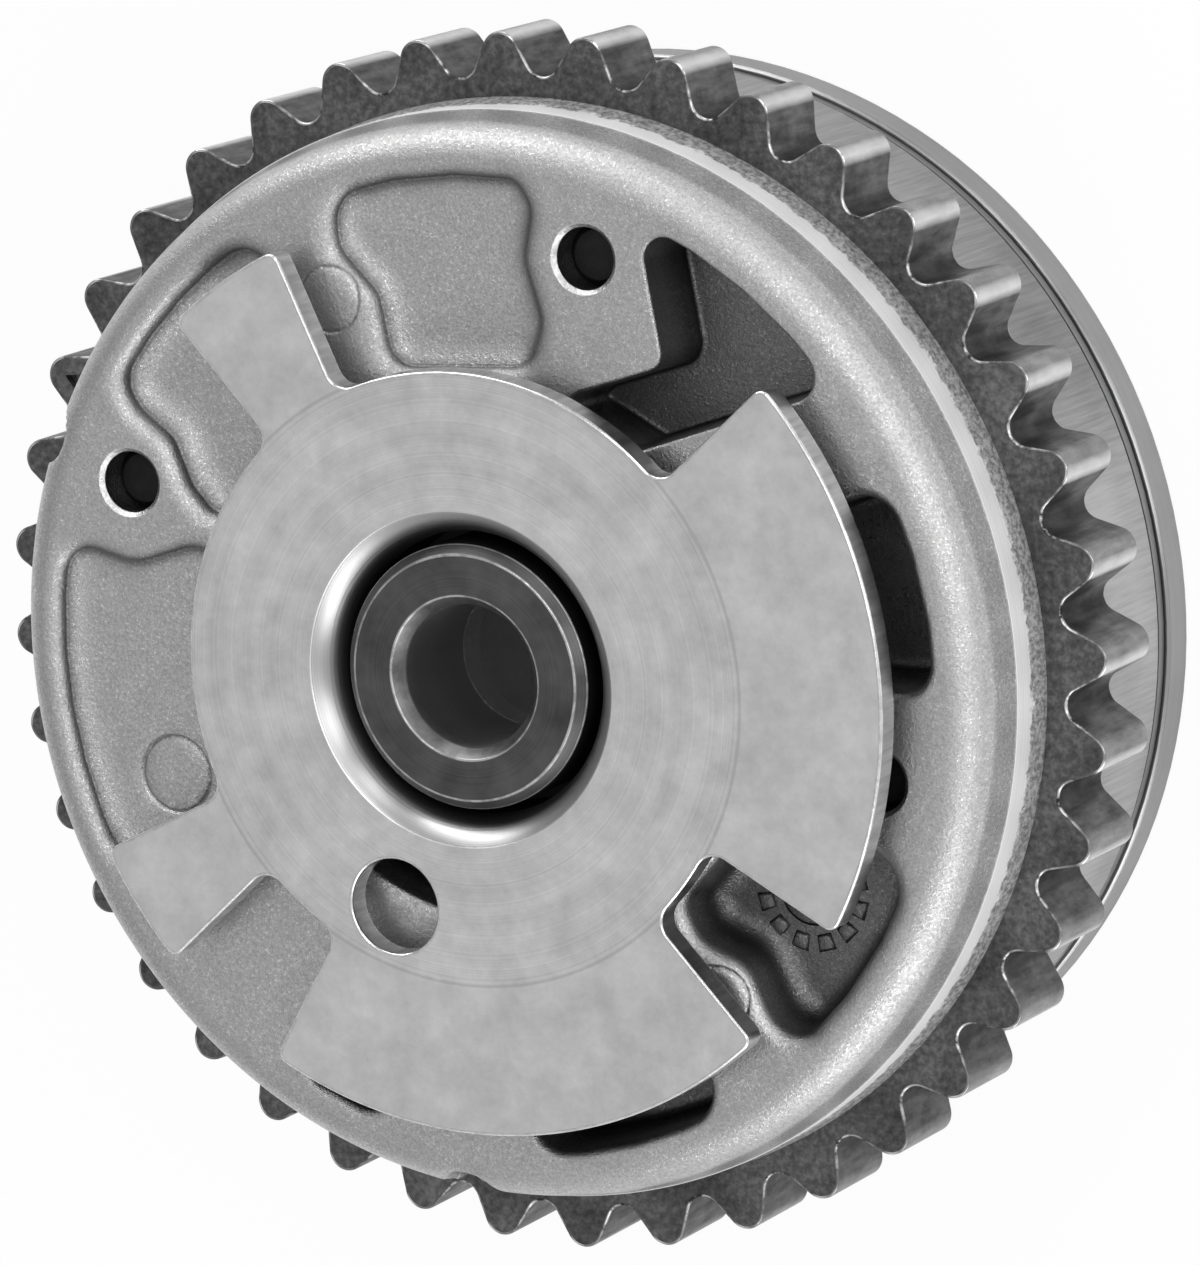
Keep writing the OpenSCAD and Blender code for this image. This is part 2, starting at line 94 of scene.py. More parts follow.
def tone(tree, value, *stops):
    """Greys along a 0 to 1 value: each stop is (place, grey)."""
    ramp = put(tree, "ValToRGB", i0=value)
    elements = ramp.color_ramp.elements
    for n, (place, grey) in enumerate(stops):
        stop = elements[n] if n < 2 else elements.new(place)
        stop.position = place
        stop.color = (grey, grey, grey, 1)
    return ramp.outputs[0]


def spot(tree):
    return put(tree, "TexCoord").outputs["Object"]


def scaled(tree, where, by):
    return put(tree, "VectorMath", {"operation": "MULTIPLY"}, i0=where, i1=by).outputs[0]


def axis_radius(tree, where):
    """Distance from the part's main axis."""
    flat = scaled(tree, where, (1, 1, 0))
    return put(tree, "VectorMath", {"operation": "LENGTH"}, i0=flat).outputs["Value"]


def noise(tree, where, scale, detail, roughness=0.5):
    made = put(tree, "TexNoise", Vector=where, Scale=scale, Detail=detail, Roughness=roughness)
    return made.outputs["Fac"]


# lathe marks: rings by radius on a face, lines by height on a cylinder
lathe_marks, given, gives = shader_group(
    "lathe_marks",
    [("Lines per metre", "NodeSocketFloat", 4000.0), ("On the side", "NodeSocketFloat", 0.0)],
    [("Marks", "NodeSocketFloat"), ("Bands", "NodeSocketFloat")])
where = spot(lathe_marks)
radius = axis_radius(lathe_marks, where)
height = put(lathe_marks, "SeparateXYZ", i0=where).outputs["Z"]
climb = calc(lathe_marks, "MULTIPLY", given["On the side"], calc(lathe_marks, "SUBTRACT", height, radius))
wander = calc(lathe_marks, "MULTIPLY", noise(lathe_marks, where, 35.0, 1.0), 0.0002)
along = calc(lathe_marks, "ADD", calc(lathe_marks, "ADD", radius, climb), wander)
fine = put(lathe_marks, "TexNoise", {"noise_dimensions": "1D"}, Scale=1.0, Detail=5.0, Roughness=0.75,
           W=calc(lathe_marks, "MULTIPLY", along, given["Lines per metre"]))
broad = put(lathe_marks, "TexNoise", {"noise_dimensions": "1D"}, Scale=1.0, Detail=2.0,
            W=calc(lathe_marks, "MULTIPLY", along, 700.0))
lathe_marks.links.new(fine.outputs["Fac"], gives["Marks"])
lathe_marks.links.new(broad.outputs["Fac"], gives["Bands"])

# crystal grain, soft patches and pits of a metal surface
metal_grain, given, gives = shader_group(
    "metal_grain", [("Grains per metre", "NodeSocketFloat", 3000.0)],
    [("Grain", "NodeSocketFloat"), ("Patch", "NodeSocketFloat"), ("Pits", "NodeSocketFloat")])
where = spot(metal_grain)
per_metre = given["Grains per metre"]
grain = remap(metal_grain, noise(metal_grain, where, per_metre, 2.0, 0.65), 0.32, 0.68)
patch = noise(metal_grain, where, calc(metal_grain, "MULTIPLY", per_metre, 0.09), 3.0, 0.6)
cells = put(metal_grain, "TexVoronoi", Vector=where, Scale=calc(metal_grain, "MULTIPLY", per_metre, 0.33))
pits = remap(metal_grain, cells.outputs["Distance"], 0.1, 0.24, 1.0, 0.0)
for made, label in ((grain, "Grain"), (patch, "Patch"), (pits, "Pits")):
    metal_grain.links.new(made, gives[label])


def metal(name, metallic=1.0):
    """A new metal with its node tree and shader."""
    made = bpy.data.materials.new(name)
    made.use_nodes = True
    shader = made.node_tree.nodes["Principled BSDF"]
    shader.inputs["Metallic"].default_value = metallic
    return made, made.node_tree, shader


def use(tree, shared, **inputs):
    """Places a shared node group in a material."""
    made = tree.nodes.new("ShaderNodeGroup")
    made.node_tree = shared
    for key, value in inputs.items():
        fill(tree, made.inputs[key.replace("_", " ")], value)
    return made.outputs


def coat(tree, shader, colour, roughness, strength=0.0, depth=0.0, relief=None):
    """Wires a surface's colour, roughness and fine relief to its shader."""
    tree.links.new(colour, shader.inputs["Base Color"])
    tree.links.new(roughness, shader.inputs["Roughness"])
    if relief is not None:
        bump = put(tree, "Bump", Strength=strength, Distance=depth, Height=relief)
        tree.links.new(bump.outputs[0], shader.inputs["Normal"])


def turned(name, dark, light, rough, lines, side, depth):
    """Bare metal off the lathe: marks shade its colour, roughness and surface."""
    made, tree, shader = metal(name)
    marks = use(tree, lathe_marks, Lines_per_metre=lines, On_the_side=side)
    patch = use(tree, metal_grain, Grains_per_metre=900.0)["Patch"]
    both = weigh(tree, marks["Marks"], 0.65, patch, 0.35)
    worn = calc(tree, "ADD", calc(tree, "MULTIPLY", marks["Bands"], 0.16), rough - 0.08)
    coat(tree, shader, tone(tree, both, (0.3, dark), (0.68, light)), worn, 0.5, depth, marks["Marks"])
    return made


def dress(name, *looks):
    """Gives a CAD node its materials."""
    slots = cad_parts[name].data.materials
    slots.clear()
    for look in looks:
        slots.append(look)


def softened(name, width, *looks):
    """Dresses a CAD node: welds its seams, breaks its sharp edges and gives it materials."""
    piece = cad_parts[name]
    weld = piece.modifiers.new("weld", "WELD")
    weld.merge_threshold = 2e-6
    broken = piece.modifiers.new("broken_edges", "BEVEL")
    broken.width, broken.segments = width, 2
    broken.limit_method, broken.angle_limit = "ANGLE", math.radians(35)
    broken.use_clamp_overlap, broken.harden_normals = True, False
    if len(looks) > 1:
        broken.material = 1
    even = piece.modifiers.new("even_shading", "WEIGHTED_NORMAL")
    even.keep_sharp = True
    dress(name, *looks)


rear_steel = turned("rear_plate_steel", 0.28, 0.47, 0.3, 5200.0, 1.0, 0.00003)
softened("rear_plate", 0.00022, rear_steel)


# Lock pin seat: a hardened ring pressed into the rear plate, where the pin parks the rotor.
# The plain dowels are the same ground steel.
ground_steel = turned("ground_steel", 0.42, 0.55, 0.24, 12000.0, 1.0, 0.00001)
for name in ("lock_pin_seat", "locating_dowel", "reluctor_dowel"):
    dress(name, ground_steel)


# Seal plate: a thin rolled steel disc clamped between the rear plate and the drum.
# Its edge shows as a narrow grey band, with a dark oily joint on each side.
seal_steel = turned("seal_plate_steel", 0.22, 0.38, 0.34, 7000.0, 1.0, 0.00002)
joint_dark = turned("oily_joint", 0.03, 0.06, 0.5, 6000.0, 1.0, 0.00001)
softened("seal_plate", 0.00025, seal_steel, joint_dark)


# Drum: the aluminium stator that holds the four oil chambers, with a spigot for the chain ring.
# It is an extrusion with fine draw lines along it and a few stains, and its cut edges are broken bright.
drum_aluminium, tree, shader = metal("drum_extruded_aluminium")
place = spot(tree)
draw_lines = noise(tree, scaled(tree, place, (1, 1, 0.04)), 2600.0, 4.0, 0.7)
stain = noise(tree, place, 36.0, 3.0, 0.6)
skin = tone(tree, weigh(tree, draw_lines, 0.35, stain, 0.65), (0.34, 0.18), (0.5, 0.33), (0.66, 0.52))
coat(tree, shader, skin, tone(tree, stain, (0.3, 0.24), (0.7, 0.36)), 0.4, 0.00003, draw_lines)
bright_edge = turned("bright_broken_edge", 0.5, 0.68, 0.28, 9000.0, 1.0, 0.00001)
softened("stator", 0.00012, drum_aluminium, bright_edge)


# Web seals: plastic strips in the drum's webs that bear on the rotor hub, each on a leaf spring.
# The strips are moulded, and the springs bent from bright steel tape.
strip_plastic, tree, shader = metal("seal_strip_plastic", 0.0)
grain = use(tree, metal_grain, Grains_per_metre=2600.0)
coat(tree, shader, tone(tree, grain["Patch"], (0.3, 0.018), (0.7, 0.04)),
     tone(tree, grain["Grain"], (0.0, 0.42), (1.0, 0.6)))
spring_steel = turned("bright_spring_steel", 0.5, 0.66, 0.25, 9000.0, 1.0, 0.00001)
for n in range(1, 5):
    dress(f"web_seal_{n}", strip_plastic)
    dress(f"web_seal_spring_{n}", spring_steel)


# Rotor: the sintered steel hub with four vanes that swings inside the drum and bolts to the camshaft.
# It is pressed, steam-treated dark and ground, with small open pores, and its bore is reamed bright; that
# bright colour also covers its deep recess as painted light.
def mix_colour(tree, share, below, above, how="MIX"):
    props = {"data_type": "RGBA", "blend_type": how}
    return put(tree, "Mix", props, i0=share, i6=below, i7=above).outputs[2]


# out to this radius in metres the hub is bright: the reamed bore, and past it the deep recess as painted
# light
BRIGHT_CENTRE_R = 0.0145
rotor_steel, tree, shader = metal("rotor_sintered_steel")
grain = use(tree, metal_grain, Grains_per_metre=2400.0)
reamed_and_painted_light = remap(tree, axis_radius(tree, spot(tree)), BRIGHT_CENTRE_R, BRIGHT_CENTRE_R + 0.0003, 1.0, 0.0)
skin = tone(tree, grain["Patch"], (0.3, 0.13), (0.7, 0.22))
pores = calc(tree, "SUBTRACT", 1.0, grain["Pits"])
coat(tree, shader, mix_colour(tree, reamed_and_painted_light, skin, (0.78, 0.78, 0.78, 1)),
     tone(tree, grain["Grain"], (0.0, 0.32), (1.0, 0.5)), 0.3, 0.00006, pores)
softened("rotor", 0.00015, rotor_steel, bright_edge)


# Vane seals: the same strips and leaf springs, in the tips of the vanes.
# They bear on the chamber walls.
for n in range(1, 5):
    dress(f"vane_seal_{n}", strip_plastic)
    dress(f"vane_seal_spring_{n}", spring_steel)


# Lock pin: a hollow ground pin in the wide vane, under a wound spring and a pressed cap.
# Spring wire is wound as one helix with closed ends; the real spring shortens as the pin is pushed in, but
# this coil keeps one length.
PIN_C, PIN_A = 30.5, math.radians(220)
PIN_PLACE = (PIN_C * math.cos(PIN_A), PIN_C * math.sin(PIN_A))
COIL_LOW, COIL_TOP, COIL_RADIUS, WIRE_RADIUS, COIL_TURNS = 9.4, 23.65, 2.5, 0.4, 8.5
dress("lock_pin", ground_steel)
dress("lock_pin_cap", ground_steel)


def new_piece(name, points, faces, looks):
    """A smooth mesh in the row frame from millimetre points, with its materials."""
    mesh = bpy.data.meshes.new(name)
    mesh.from_pydata([tuple(p) for p in np.asarray(points, float) * 0.001], [], faces)
    for look in looks:
        mesh.materials.append(look)
    mesh.shade_smooth()
    made = bpy.data.objects.new(name, mesh)
    bpy.context.scene.collection.objects.link(made)
    return made


def swept_faces(rows, columns, closed):
    """Quads between closed rows of points, and from the last row to the first if closed."""
    quads = []
    for i in range(rows if closed else rows - 1):
        here, there = i * columns, (i + 1) % rows * columns
        for j in range(columns):
            k = (j + 1) % columns
            quads.append((here + j, there + j, there + k, here + k))
    return quads


def wound_spring():
    steps, sides = 260, 12
    share = np.linspace(0, 1, steps)
    turn = 2 * math.pi * COIL_TURNS * share
    rise = np.interp(share, [0, 0.09, 0.91, 1], [0, 0.05, 0.95, 1])
    z = COIL_LOW + WIRE_RADIUS + rise * (COIL_TOP - COIL_LOW - 2 * WIRE_RADIUS)
    points = []
    for a, h in zip(turn, z):
        for b in np.arange(sides) * 2 * math.pi / sides:
            r = COIL_RADIUS + WIRE_RADIUS * math.cos(b)
            x, y = PIN_PLACE[0] + r * math.cos(a), PIN_PLACE[1] + r * math.sin(a)
            points.append((x, y, h + WIRE_RADIUS * math.sin(b)))
    ends = [tuple(range(sides)), tuple((steps - 1) * sides + j for j in reversed(range(sides)))]
    return points, swept_faces(steps, sides, False) + ends


coil = new_piece("lock_pin_coil", *wound_spring(), [spring_steel])
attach(coil, "rotor")
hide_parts("lock_pin_spring")
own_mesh(coil)


# Chain ring: forty round-tipped teeth on a ring that slips over the drum's spigot.
# It is sintered steel, steam-treated to a dark mottled skin.
# The chain polishes the driven side of each tooth; the bright band across each tip is partly that polish and
# partly a painted highlight.
TEETH, FIRST_TOOTH = 40, -1.2
ROOT_R, TIP_R, TIP_ROUND, GAP_ROUND = 48.351, 52.051, 1.7, 1.5
RING_LOW, RING_TOP, SPIGOT_R = 18.1, 26.7, 42.5
MARKED_TOOTH, MARK_R, MARK_DEEP = 17, 48.55, 0.8

# rubbed bright metal along edges, broken up so that it isn't an even line
worn_edge, given, gives = shader_group(
    "worn_edge",
    [("Wear", "NodeSocketFloat", 0.0), ("Skin", "NodeSocketColor", (0.1, 0.1, 0.1, 1)),
     ("Bare metal", "NodeSocketColor", (0.7, 0.7, 0.7, 1)), ("Skin roughness", "NodeSocketFloat", 0.5),
     ("Bare roughness", "NodeSocketFloat", 0.3), ("Broken", "NodeSocketFloat", 0.5)],
    [("Colour", "NodeSocketColor"), ("Roughness", "NodeSocketFloat")])
chips = remap(worn_edge, noise(worn_edge, spot(worn_edge), 900.0, 3.0, 0.6), 0.4, 0.58)
chips = calc(worn_edge, "ADD", calc(worn_edge, "SUBTRACT", 1.0, given["Broken"]),
             calc(worn_edge, "MULTIPLY", chips, given["Broken"]))
bare = calc(worn_edge, "MULTIPLY", given["Wear"], chips, clamp=True)
rough_mix = put(worn_edge, "Mix", i0=bare, i2=given["Skin roughness"], i3=given["Bare roughness"])
worn_edge.links.new(mix_colour(worn_edge, bare, given["Skin"], given["Bare metal"]), gives["Colour"])
worn_edge.links.new(rough_mix.outputs[0], gives["Roughness"])


def mask(tree, name):
    return put(tree, "Attribute", {"attribute_name": name}).outputs["Fac"]


def worn_coat(tree, shader, skin, skin_rough, bare, bare_rough, strength, depth, relief, broken=0.5):
    """Coats a metal whose edges are rubbed bare where its mesh has the wear mask."""
    edge = use(tree, worn_edge, Wear=mask(tree, "wear"), Skin=skin, Bare_metal=(bare, bare, bare, 1),
               Skin_roughness=skin_rough, Bare_roughness=bare_rough, Broken=broken)
    coat(tree, shader, edge["Colour"], edge["Roughness"], strength, depth, relief)


def polar(r, degrees):
    return np.array([r * math.cos(math.radians(degrees)), r * math.sin(math.radians(degrees))])


def arc(centre, r, start, end, steps):
    return [np.asarray(centre) + polar(r, start + (end - start) * k / steps) for k in range(steps + 1)]


def tooth_line():
    """The ring's outline, anticlockwise: tip arc, flank, gap arc, flank, for each tooth."""
    half = 180 / TEETH
    tip, gap = np.array([TIP_R - TIP_ROUND, 0]), polar(ROOT_R + GAP_ROUND, half)
    d = gap - tip
    lean = math.degrees(math.atan2(d[1], d[0]) - math.acos((TIP_ROUND + GAP_ROUND) / np.hypot(*d)))
    one = arc(tip, TIP_ROUND, -lean, lean, 14) + arc(gap, GAP_ROUND, lean + 180, 2 * half + 180 - lean, 12)
    line = []
    for k in range(TEETH):
        a = math.radians(FIRST_TOOTH + k * 2 * half)
        turn = np.array([[math.cos(a), math.sin(a)], [-math.sin(a), math.cos(a)]])
        line += list(np.array(one) @ turn)
    return np.array(line)


def edge_normals(line):
    """Outward normals of a closed anticlockwise line."""
    along = np.roll(line, -1, 0) - np.roll(line, 1, 0)
    along /= np.linalg.norm(along, axis=1)[:, None]
    return np.stack([along[:, 1], -along[:, 0]], 1)


def eased_wall(edge, low, top):
    """Steps up a wall with the same eased edge at both ends, as (inset, height, wear, hard)."""
    foot = [(inset, low + h, worn, hard) for inset, h, worn, hard in edge]
    return foot + [(inset, top - h, worn, hard) for inset, h, worn, hard in reversed(edge)]


def walls_and_caps(outer, holes, dents=()):
    """A plate with holes. Each wall is (line, normals into the metal, steps), and each step is
    (inset, height, wear, hard); steps run from the bottom face to the top face. Dents are
    (line, depth) marks in the top face."""
    points, faces, kinds, wear, sharp = [], [], [], [], []
    lows, tops = [], []
    for n, (line, inward, steps) in enumerate([outer] + holes):
        count, base = len(line), len(points)
        for inset, z, worn, hard in steps:
            points += [(x, y, z) for x, y in line + inward * inset]
            wear += [worn] * count
            sharp += [hard] * count
        for s in range(len(steps) - 1):
            for k in range(count):
                a, b = base + s * count + k, base + s * count + (k + 1) % count
                quad = (a, b, b + count, a + count)
                faces.append(quad if n == 0 else quad[::-1])
                kinds.append(1)
        lows.append(list(range(base, base + count)))
        tops.append(list(range(base + (len(steps) - 1) * count, base + len(steps) * count)))
    for line, deep in dents:
        count, base = len(line), len(points)
        for z in (outer[2][-1][1], outer[2][-1][1] - deep):
            points += [(x, y, z) for x, y in line]
        wear += [0.0] * 2 * count
        sharp += [True] * 2 * count
        for k in range(count):
            a, b = base + k, base + (k + 1) % count
            faces.append((a, b, b + count, a + count))
        faces.append(tuple(range(base + count, base + 2 * count)))
        kinds += [0] * (count + 1)
        tops.append(list(range(base, base + count)))
    for loops, upward in ((lows, False), (tops, True)):
        order = [k for loop in loops for k in loop]
        flat = [[Vector((points[k][0], points[k][1], 0)) for k in loop] for loop in loops]
        for t in tessellate_polygon(flat):
            tri = [order[k] for k in t]
            a, b, c = (np.array(points[k][:2]) for k in tri)
            turn = (b[0] - a[0]) * (c[1] - a[1]) - (b[1] - a[1]) * (c[0] - a[0])
            faces.append(tuple(tri if (turn > 0) == upward else tri[::-1]))
            kinds.append(0)
    return points, faces, kinds, wear, sharp


def point_mask(mesh, name, values):
    mesh.attributes.new(name, "FLOAT", "POINT").data.foreach_set("value", np.asarray(values, np.float32))


def edge_ends(mesh):
    ends = np.zeros(len(mesh.edges) * 2, int)
    mesh.edges.foreach_get("vertices", ends)
    return ends.reshape(-1, 2)


def hard_edges(mesh, chosen):
    mesh.attributes.new("sharp_edge", "BOOLEAN", "EDGE").data.foreach_set("value", chosen)
    mesh.update()


def finish_mesh(piece, kinds, wear, sharp):
    """Writes material numbers, the wear mask and hard edges into a new mesh."""
    mesh = piece.data
    mesh.polygons.foreach_set("material_index", kinds)
    point_mask(mesh, "wear", wear)
    ends = edge_ends(mesh)
    level = np.abs(np.array([v.co.z for v in mesh.vertices])[ends] @ [1, -1]) < 1e-7
    hard_edges(mesh, np.array(sharp, bool)[ends].all(1) & level)


# inset, drop, wear and hard edge across a tumbled edge
EASED = [(0.24, 0.0, 0.0, False), (0.17, 0.0, 0.7, True), (0.07, 0.03, 1.0, False), (0.02, 0.09, 1.0, False),
         (0.0, 0.17, 0.6, False), (0.0, 0.25, 0.0, False)]
ring_wall = eased_wall(EASED, RING_LOW, RING_TOP)
teeth_line = tooth_line()
spigot_line = np.array([polar(SPIGOT_R, 360 * k / 240) for k in range(240)])
mark_a = FIRST_TOOTH + MARKED_TOOTH * 360 / TEETH
mark = np.array([polar(MARK_R, mark_a) + out * polar(1, mark_a) + side * polar(1, mark_a + 90)
                 for out, side in ((1.9, 0), (-0.3, 1.2), (-0.3, -1.2))])
points, faces, kinds, wear, sharp = walls_and_caps(
    (teeth_line, -edge_normals(teeth_line), ring_wall),
    [(spigot_line, edge_normals(spigot_line), [(0, RING_LOW, 0, True), (0, RING_TOP, 0, True)])],
    [(mark, MARK_DEEP)])
# polish and painted highlight round one tooth, from the driven side over the tip and through the gap
over_tip = np.interp(np.linspace(-1, 1, 15), [-1, -0.8, -0.55, -0.25, 0.0, 0.4, 1],
                     [0.24, 0.7, 1.0, 0.78, 0.46, 0.46, 0.26])
through_gap = np.interp(np.linspace(0, 1, 13), [0, 0.3, 0.55, 0.8, 1], [0.2, 0.05, 0.03, 0.16, 0.24])
polish_and_highlight = np.tile(np.r_[over_tip, through_gap], TEETH * len(ring_wall))
polish_and_highlight = np.r_[polish_and_highlight, np.zeros(len(points) - len(polish_and_highlight))]
# edges are rubbed brighter in the gaps than on the tips
reach = [math.hypot(x, y) for x, y, _ in points]
wear = np.array(wear) * np.interp(reach, [48.3, 49.6, 50.8], [1.0, 0.7, 0.1])

ring_face, tree, shader = metal("ring_steam_treated_face", 0.85)
grain = use(tree, metal_grain, Grains_per_metre=1500.0)
mottle = weigh(tree, noise(tree, spot(tree), 120.0, 6.0, 0.65), 0.75, grain["Grain"], 0.25)
pitted = calc(tree, "SUBTRACT", grain["Grain"], calc(tree, "MULTIPLY", grain["Pits"], 1.4))
worn_coat(tree, shader, tone(tree, mottle, (0.3, 0.05), (0.52, 0.112), (0.74, 0.215)),
          tone(tree, grain["Patch"], (0.3, 0.36), (0.7, 0.56)), 0.7, 0.25, 0.45, 0.00006, pitted, broken=1.0)

ring_flank, tree, shader = metal("ring_flanks_polish_and_highlight", 0.95)
place = spot(tree)
streaks = noise(tree, scaled(tree, place, (1, 1, 0.2)), 1300.0, 3.0, 0.6)
cloud = noise(tree, place, 330.0, 5.0, 0.7)
uneven = calc(tree, "MULTIPLY", calc(tree, "SUBTRACT", calc(tree, "ADD", cloud, streaks), 1.0), 0.36)
# the bright band is partly chain polish and partly painted highlight
rubbed = calc(tree, "ADD", mask(tree, "polish_and_highlight"), uneven, clamp=True)
worn_coat(tree, shader, tone(tree, rubbed, (0.0, 0.026), (0.16, 0.06), (0.3, 0.14), (0.5, 0.29), (1.0, 0.76)),
          tone(tree, rubbed, (0.0, 0.56), (0.45, 0.28), (1.0, 0.15)), 0.75, 0.25, 0.2, 0.00003, streaks,
          broken=1.0)

chain_ring = new_piece("chain_ring", points, faces, [ring_face, ring_flank])
finish_mesh(chain_ring, kinds, wear, sharp)
point_mask(chain_ring.data, "polish_and_highlight", polish_and_highlight)
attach(chain_ring, "housing")
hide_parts("sprocket")


# Front cover: the aluminium die casting that clamps the chain ring, blasted to a speckled skin.
# Its pockets have soft cast edges, its rim is rolled over, and its four screw holes are tapped.
# One band of the rim is skimmed bright on a lathe.
COVER_LOW, COVER_H, COVER_BORE = 26.7, 10.2, 21.2
BORE_TOP = COVER_BORE + 0.3
POCKET_IN, POCKET_OUT, SCREW_C = 26.0, 41.3, 36.45
SCREWS = (-14.6, 69.6, 153.8, 261.2)
HOLE_R, HOLE_DROP, CHAMFER_R, CHAMFER_DROP = 2.6, 5.0, 3.0, 0.4
RIM_STEPS, FIELD_OUT = 1080, 43.0
RIM_START, RIM_ROUND = 42.08, 3.6
# pockets shallower than this have a broad swept foot
SHALLOW = 3.0
# pocket: depth, width and drop of the top round, floor round, wall draft,
# then corners as share of the way out, angle and rounding
POCKETS = [
    (2.0, 2.1, 1.25, 0.75, 0.15,
     [(0.0, 75.8, 2.4), (0.26, 74.6, 3), (0.58, 78.8, 3), (0.86, 78.4, 2.4), (1, 80.6, 2),
      (1, 105.0, 3), (0.72, 106.8, 3.5), (0.42, 103.0, 3), (0.02, 104.4, 2.4)]),
    (2.6, 2.0, 1.6, 1.0, 0.2,
     [(0.01, 118, 2), (1, 117, 3), (1, 143.2, 2.6), (0.82, 145.0, 2.5), (0.57, 145.6, 3),
      (0.36, 150.2, 3), (0.2, 152.2, 2), (0.01, 151.8, 1.5)]),
    (2.0, 1.9, 1.25, 0.75, 0.15,
     [(0.01, 158.4, 1.5), (0.24, 159.4, 4), (0.56, 164.9, 5), (1, 164.4, 2.6), (1, 205, 3),
      (0.01, 205, 2.5)]),
    (7.0, 0.35, 0.35, 0.45, 0.3,
     [(-0.15, 49.5, 1), (1, 33.8, 2.2), (1, 64.4, 1.8), (0.37, 52.6, 1.6), (-0.03, 64.5, 0.8),
      (-0.15, 67, 0.8)]),
    (8.0, 0.9, 0.9, 1.0, 0.4,
     [(0.07, -2, 2), (0.98, -3, 2.6), (0.98, 21.4, 3), (0.07, 24, 2)]),
    (5.6, 2.0, 1.7, 2.0, 0.4,
     [(-0.03, 309.6, 1.8), (0.17, 307.5, 3), (0.45, 311.2, 3.5), (0.76, 308.6, 3.5),
      (0.97, 309.6, 2.4), (0.97, 334.6, 3.2), (0.6, 337, 4), (-0.03, 331, 2)]),
    (8.0, 0.9, 0.9, 1.0, 0.4,
     [(0.07, 270.4, 2), (1, 270.4, 3), (1, 297.6, 3), (0.6, 296.4, 3), (0.07, 297.6, 2)]),
    (6.0, 0.8, 0.8, 1.0, 0.4,
     [(0.3, 238.4, 2), (1, 238.4, 2.2), (1, 250.4, 2.2), (0.3, 250.4, 2)])]
DEEPEST = max(pocket[0] for pocket in POCKETS)
# round ejector marks: place, radius, drop, which also sets how much painted shade lies in the ring groove
EJECTORS = [(polar(33.4, 110.3), 2.75, 0.14), (polar(33.5, 196.4), 3.3, 0.25),
            (polar(33.6, 304.6), 2.75, 0.14)]
DIAL, DIAL_R, DIAL_PADS, DIAL_FLOOR = np.array([25.9, -19.6]), 4.4, 12, 31.3
DIAL_DISC, DIAL_TURN, PAD_HALF, PAD_TURN = 2.75, 11, 0.62, 8


def pocket_r(share):
    return POCKET_IN + share * (POCKET_OUT - POCKET_IN)


def rounded_corner(before, here, after, r):
    u, v = before - here, after - here
    u, v = u / np.hypot(*u), v / np.hypot(*v)
    half = math.acos(np.clip(u @ v, -1, 1)) / 2
    centre = here + (u + v) / np.hypot(*(u + v)) * r / math.sin(half)
    s, e = here + u * r / math.tan(half) - centre, here + v * r / math.tan(half) - centre
    start = math.degrees(math.atan2(s[1], s[0]))
    sweep = (math.degrees(math.atan2(e[1], e[0])) - start + 180) % 360 - 180
    return arc(centre, r, start, start + sweep, 10)


def pocket_line(corners, step=0.4):
    """Closed outline with rounded corners, evenly spaced, anticlockwise."""
    rough = []
    for (t0, a0, r0), (t1, a1, _) in zip(corners, corners[1:] + corners[:1]):
        pieces = max(1, int(abs(a1 - a0) * pocket_r(t0) / 270)) if t0 == t1 else 1
        rough += [(polar(pocket_r(t0), a0 + (a1 - a0) * j / pieces), r0 if j == 0 else 0)
                  for j in range(pieces)]
    line = []
    for k, (here, r) in enumerate(rough):
        before, after = rough[k - 1][0], rough[(k + 1) % len(rough)][0]
        line += rounded_corner(before, here, after, r) if r else [here]
    line = np.array(line + line[:1])
    gone = np.r_[0, np.cumsum(np.hypot(*np.diff(line, axis=0).T))]
    at = np.linspace(0, gone[-1], int(gone[-1] / step), endpoint=False)
    even = np.stack([np.interp(at, gone, line[:, 0]), np.interp(at, gone, line[:, 1])], 1)
    x, y = even.T
    return even if (x * np.roll(y, -1) - np.roll(x, -1) * y).sum() > 0 else even[::-1]


def depth_inside(points, line, batch=3000):
    """How far each point lies inside a closed line; negative outside."""
    start, leg = line, np.roll(line, -1, 0) - line
    rise = np.where(leg[:, 1] == 0, 1e-12, leg[:, 1])
    found = np.empty(len(points))
    for k in range(0, len(points), batch):
        p = points[k:k + batch, None]
        t = np.clip(((p - start) * leg).sum(2) / (leg * leg).sum(1), 0, 1)
        near = np.sqrt((((start + t[..., None] * leg) - p) ** 2).sum(2)).min(1)
        above = (start[:, 1] > p[..., 1]) != ((start + leg)[:, 1] > p[..., 1])
        cross = start[:, 0] + leg[:, 0] * (p[..., 1] - start[:, 1]) / rise
        inside = (above & (p[..., 0] < cross)).sum(1) % 2 == 1
        found[k:k + batch] = np.where(inside, near, -near)
    return found


def foot_width(depth, floor):
    return 3.6 * floor if depth < SHALLOW else floor


def wall_drop(inside, depth, roll, top, floor, draft):
    """Drop below the cover face across a pocket's edge: round, drafted wall, round, floor."""
    over = np.clip((inside + roll) / roll, 0, 1)
    drop = top * (1 - np.sqrt(1 - over * over))
    drop += np.clip(inside / draft, 0, 1) * (depth - top - floor)
    foot = 1 - np.clip((inside - draft) / foot_width(depth, floor), 0, 1)
    sweep = 1 - foot ** 3 if depth < SHALLOW else np.sqrt(1 - foot * foot)
    return drop + np.where(inside > draft, floor * sweep, 0)


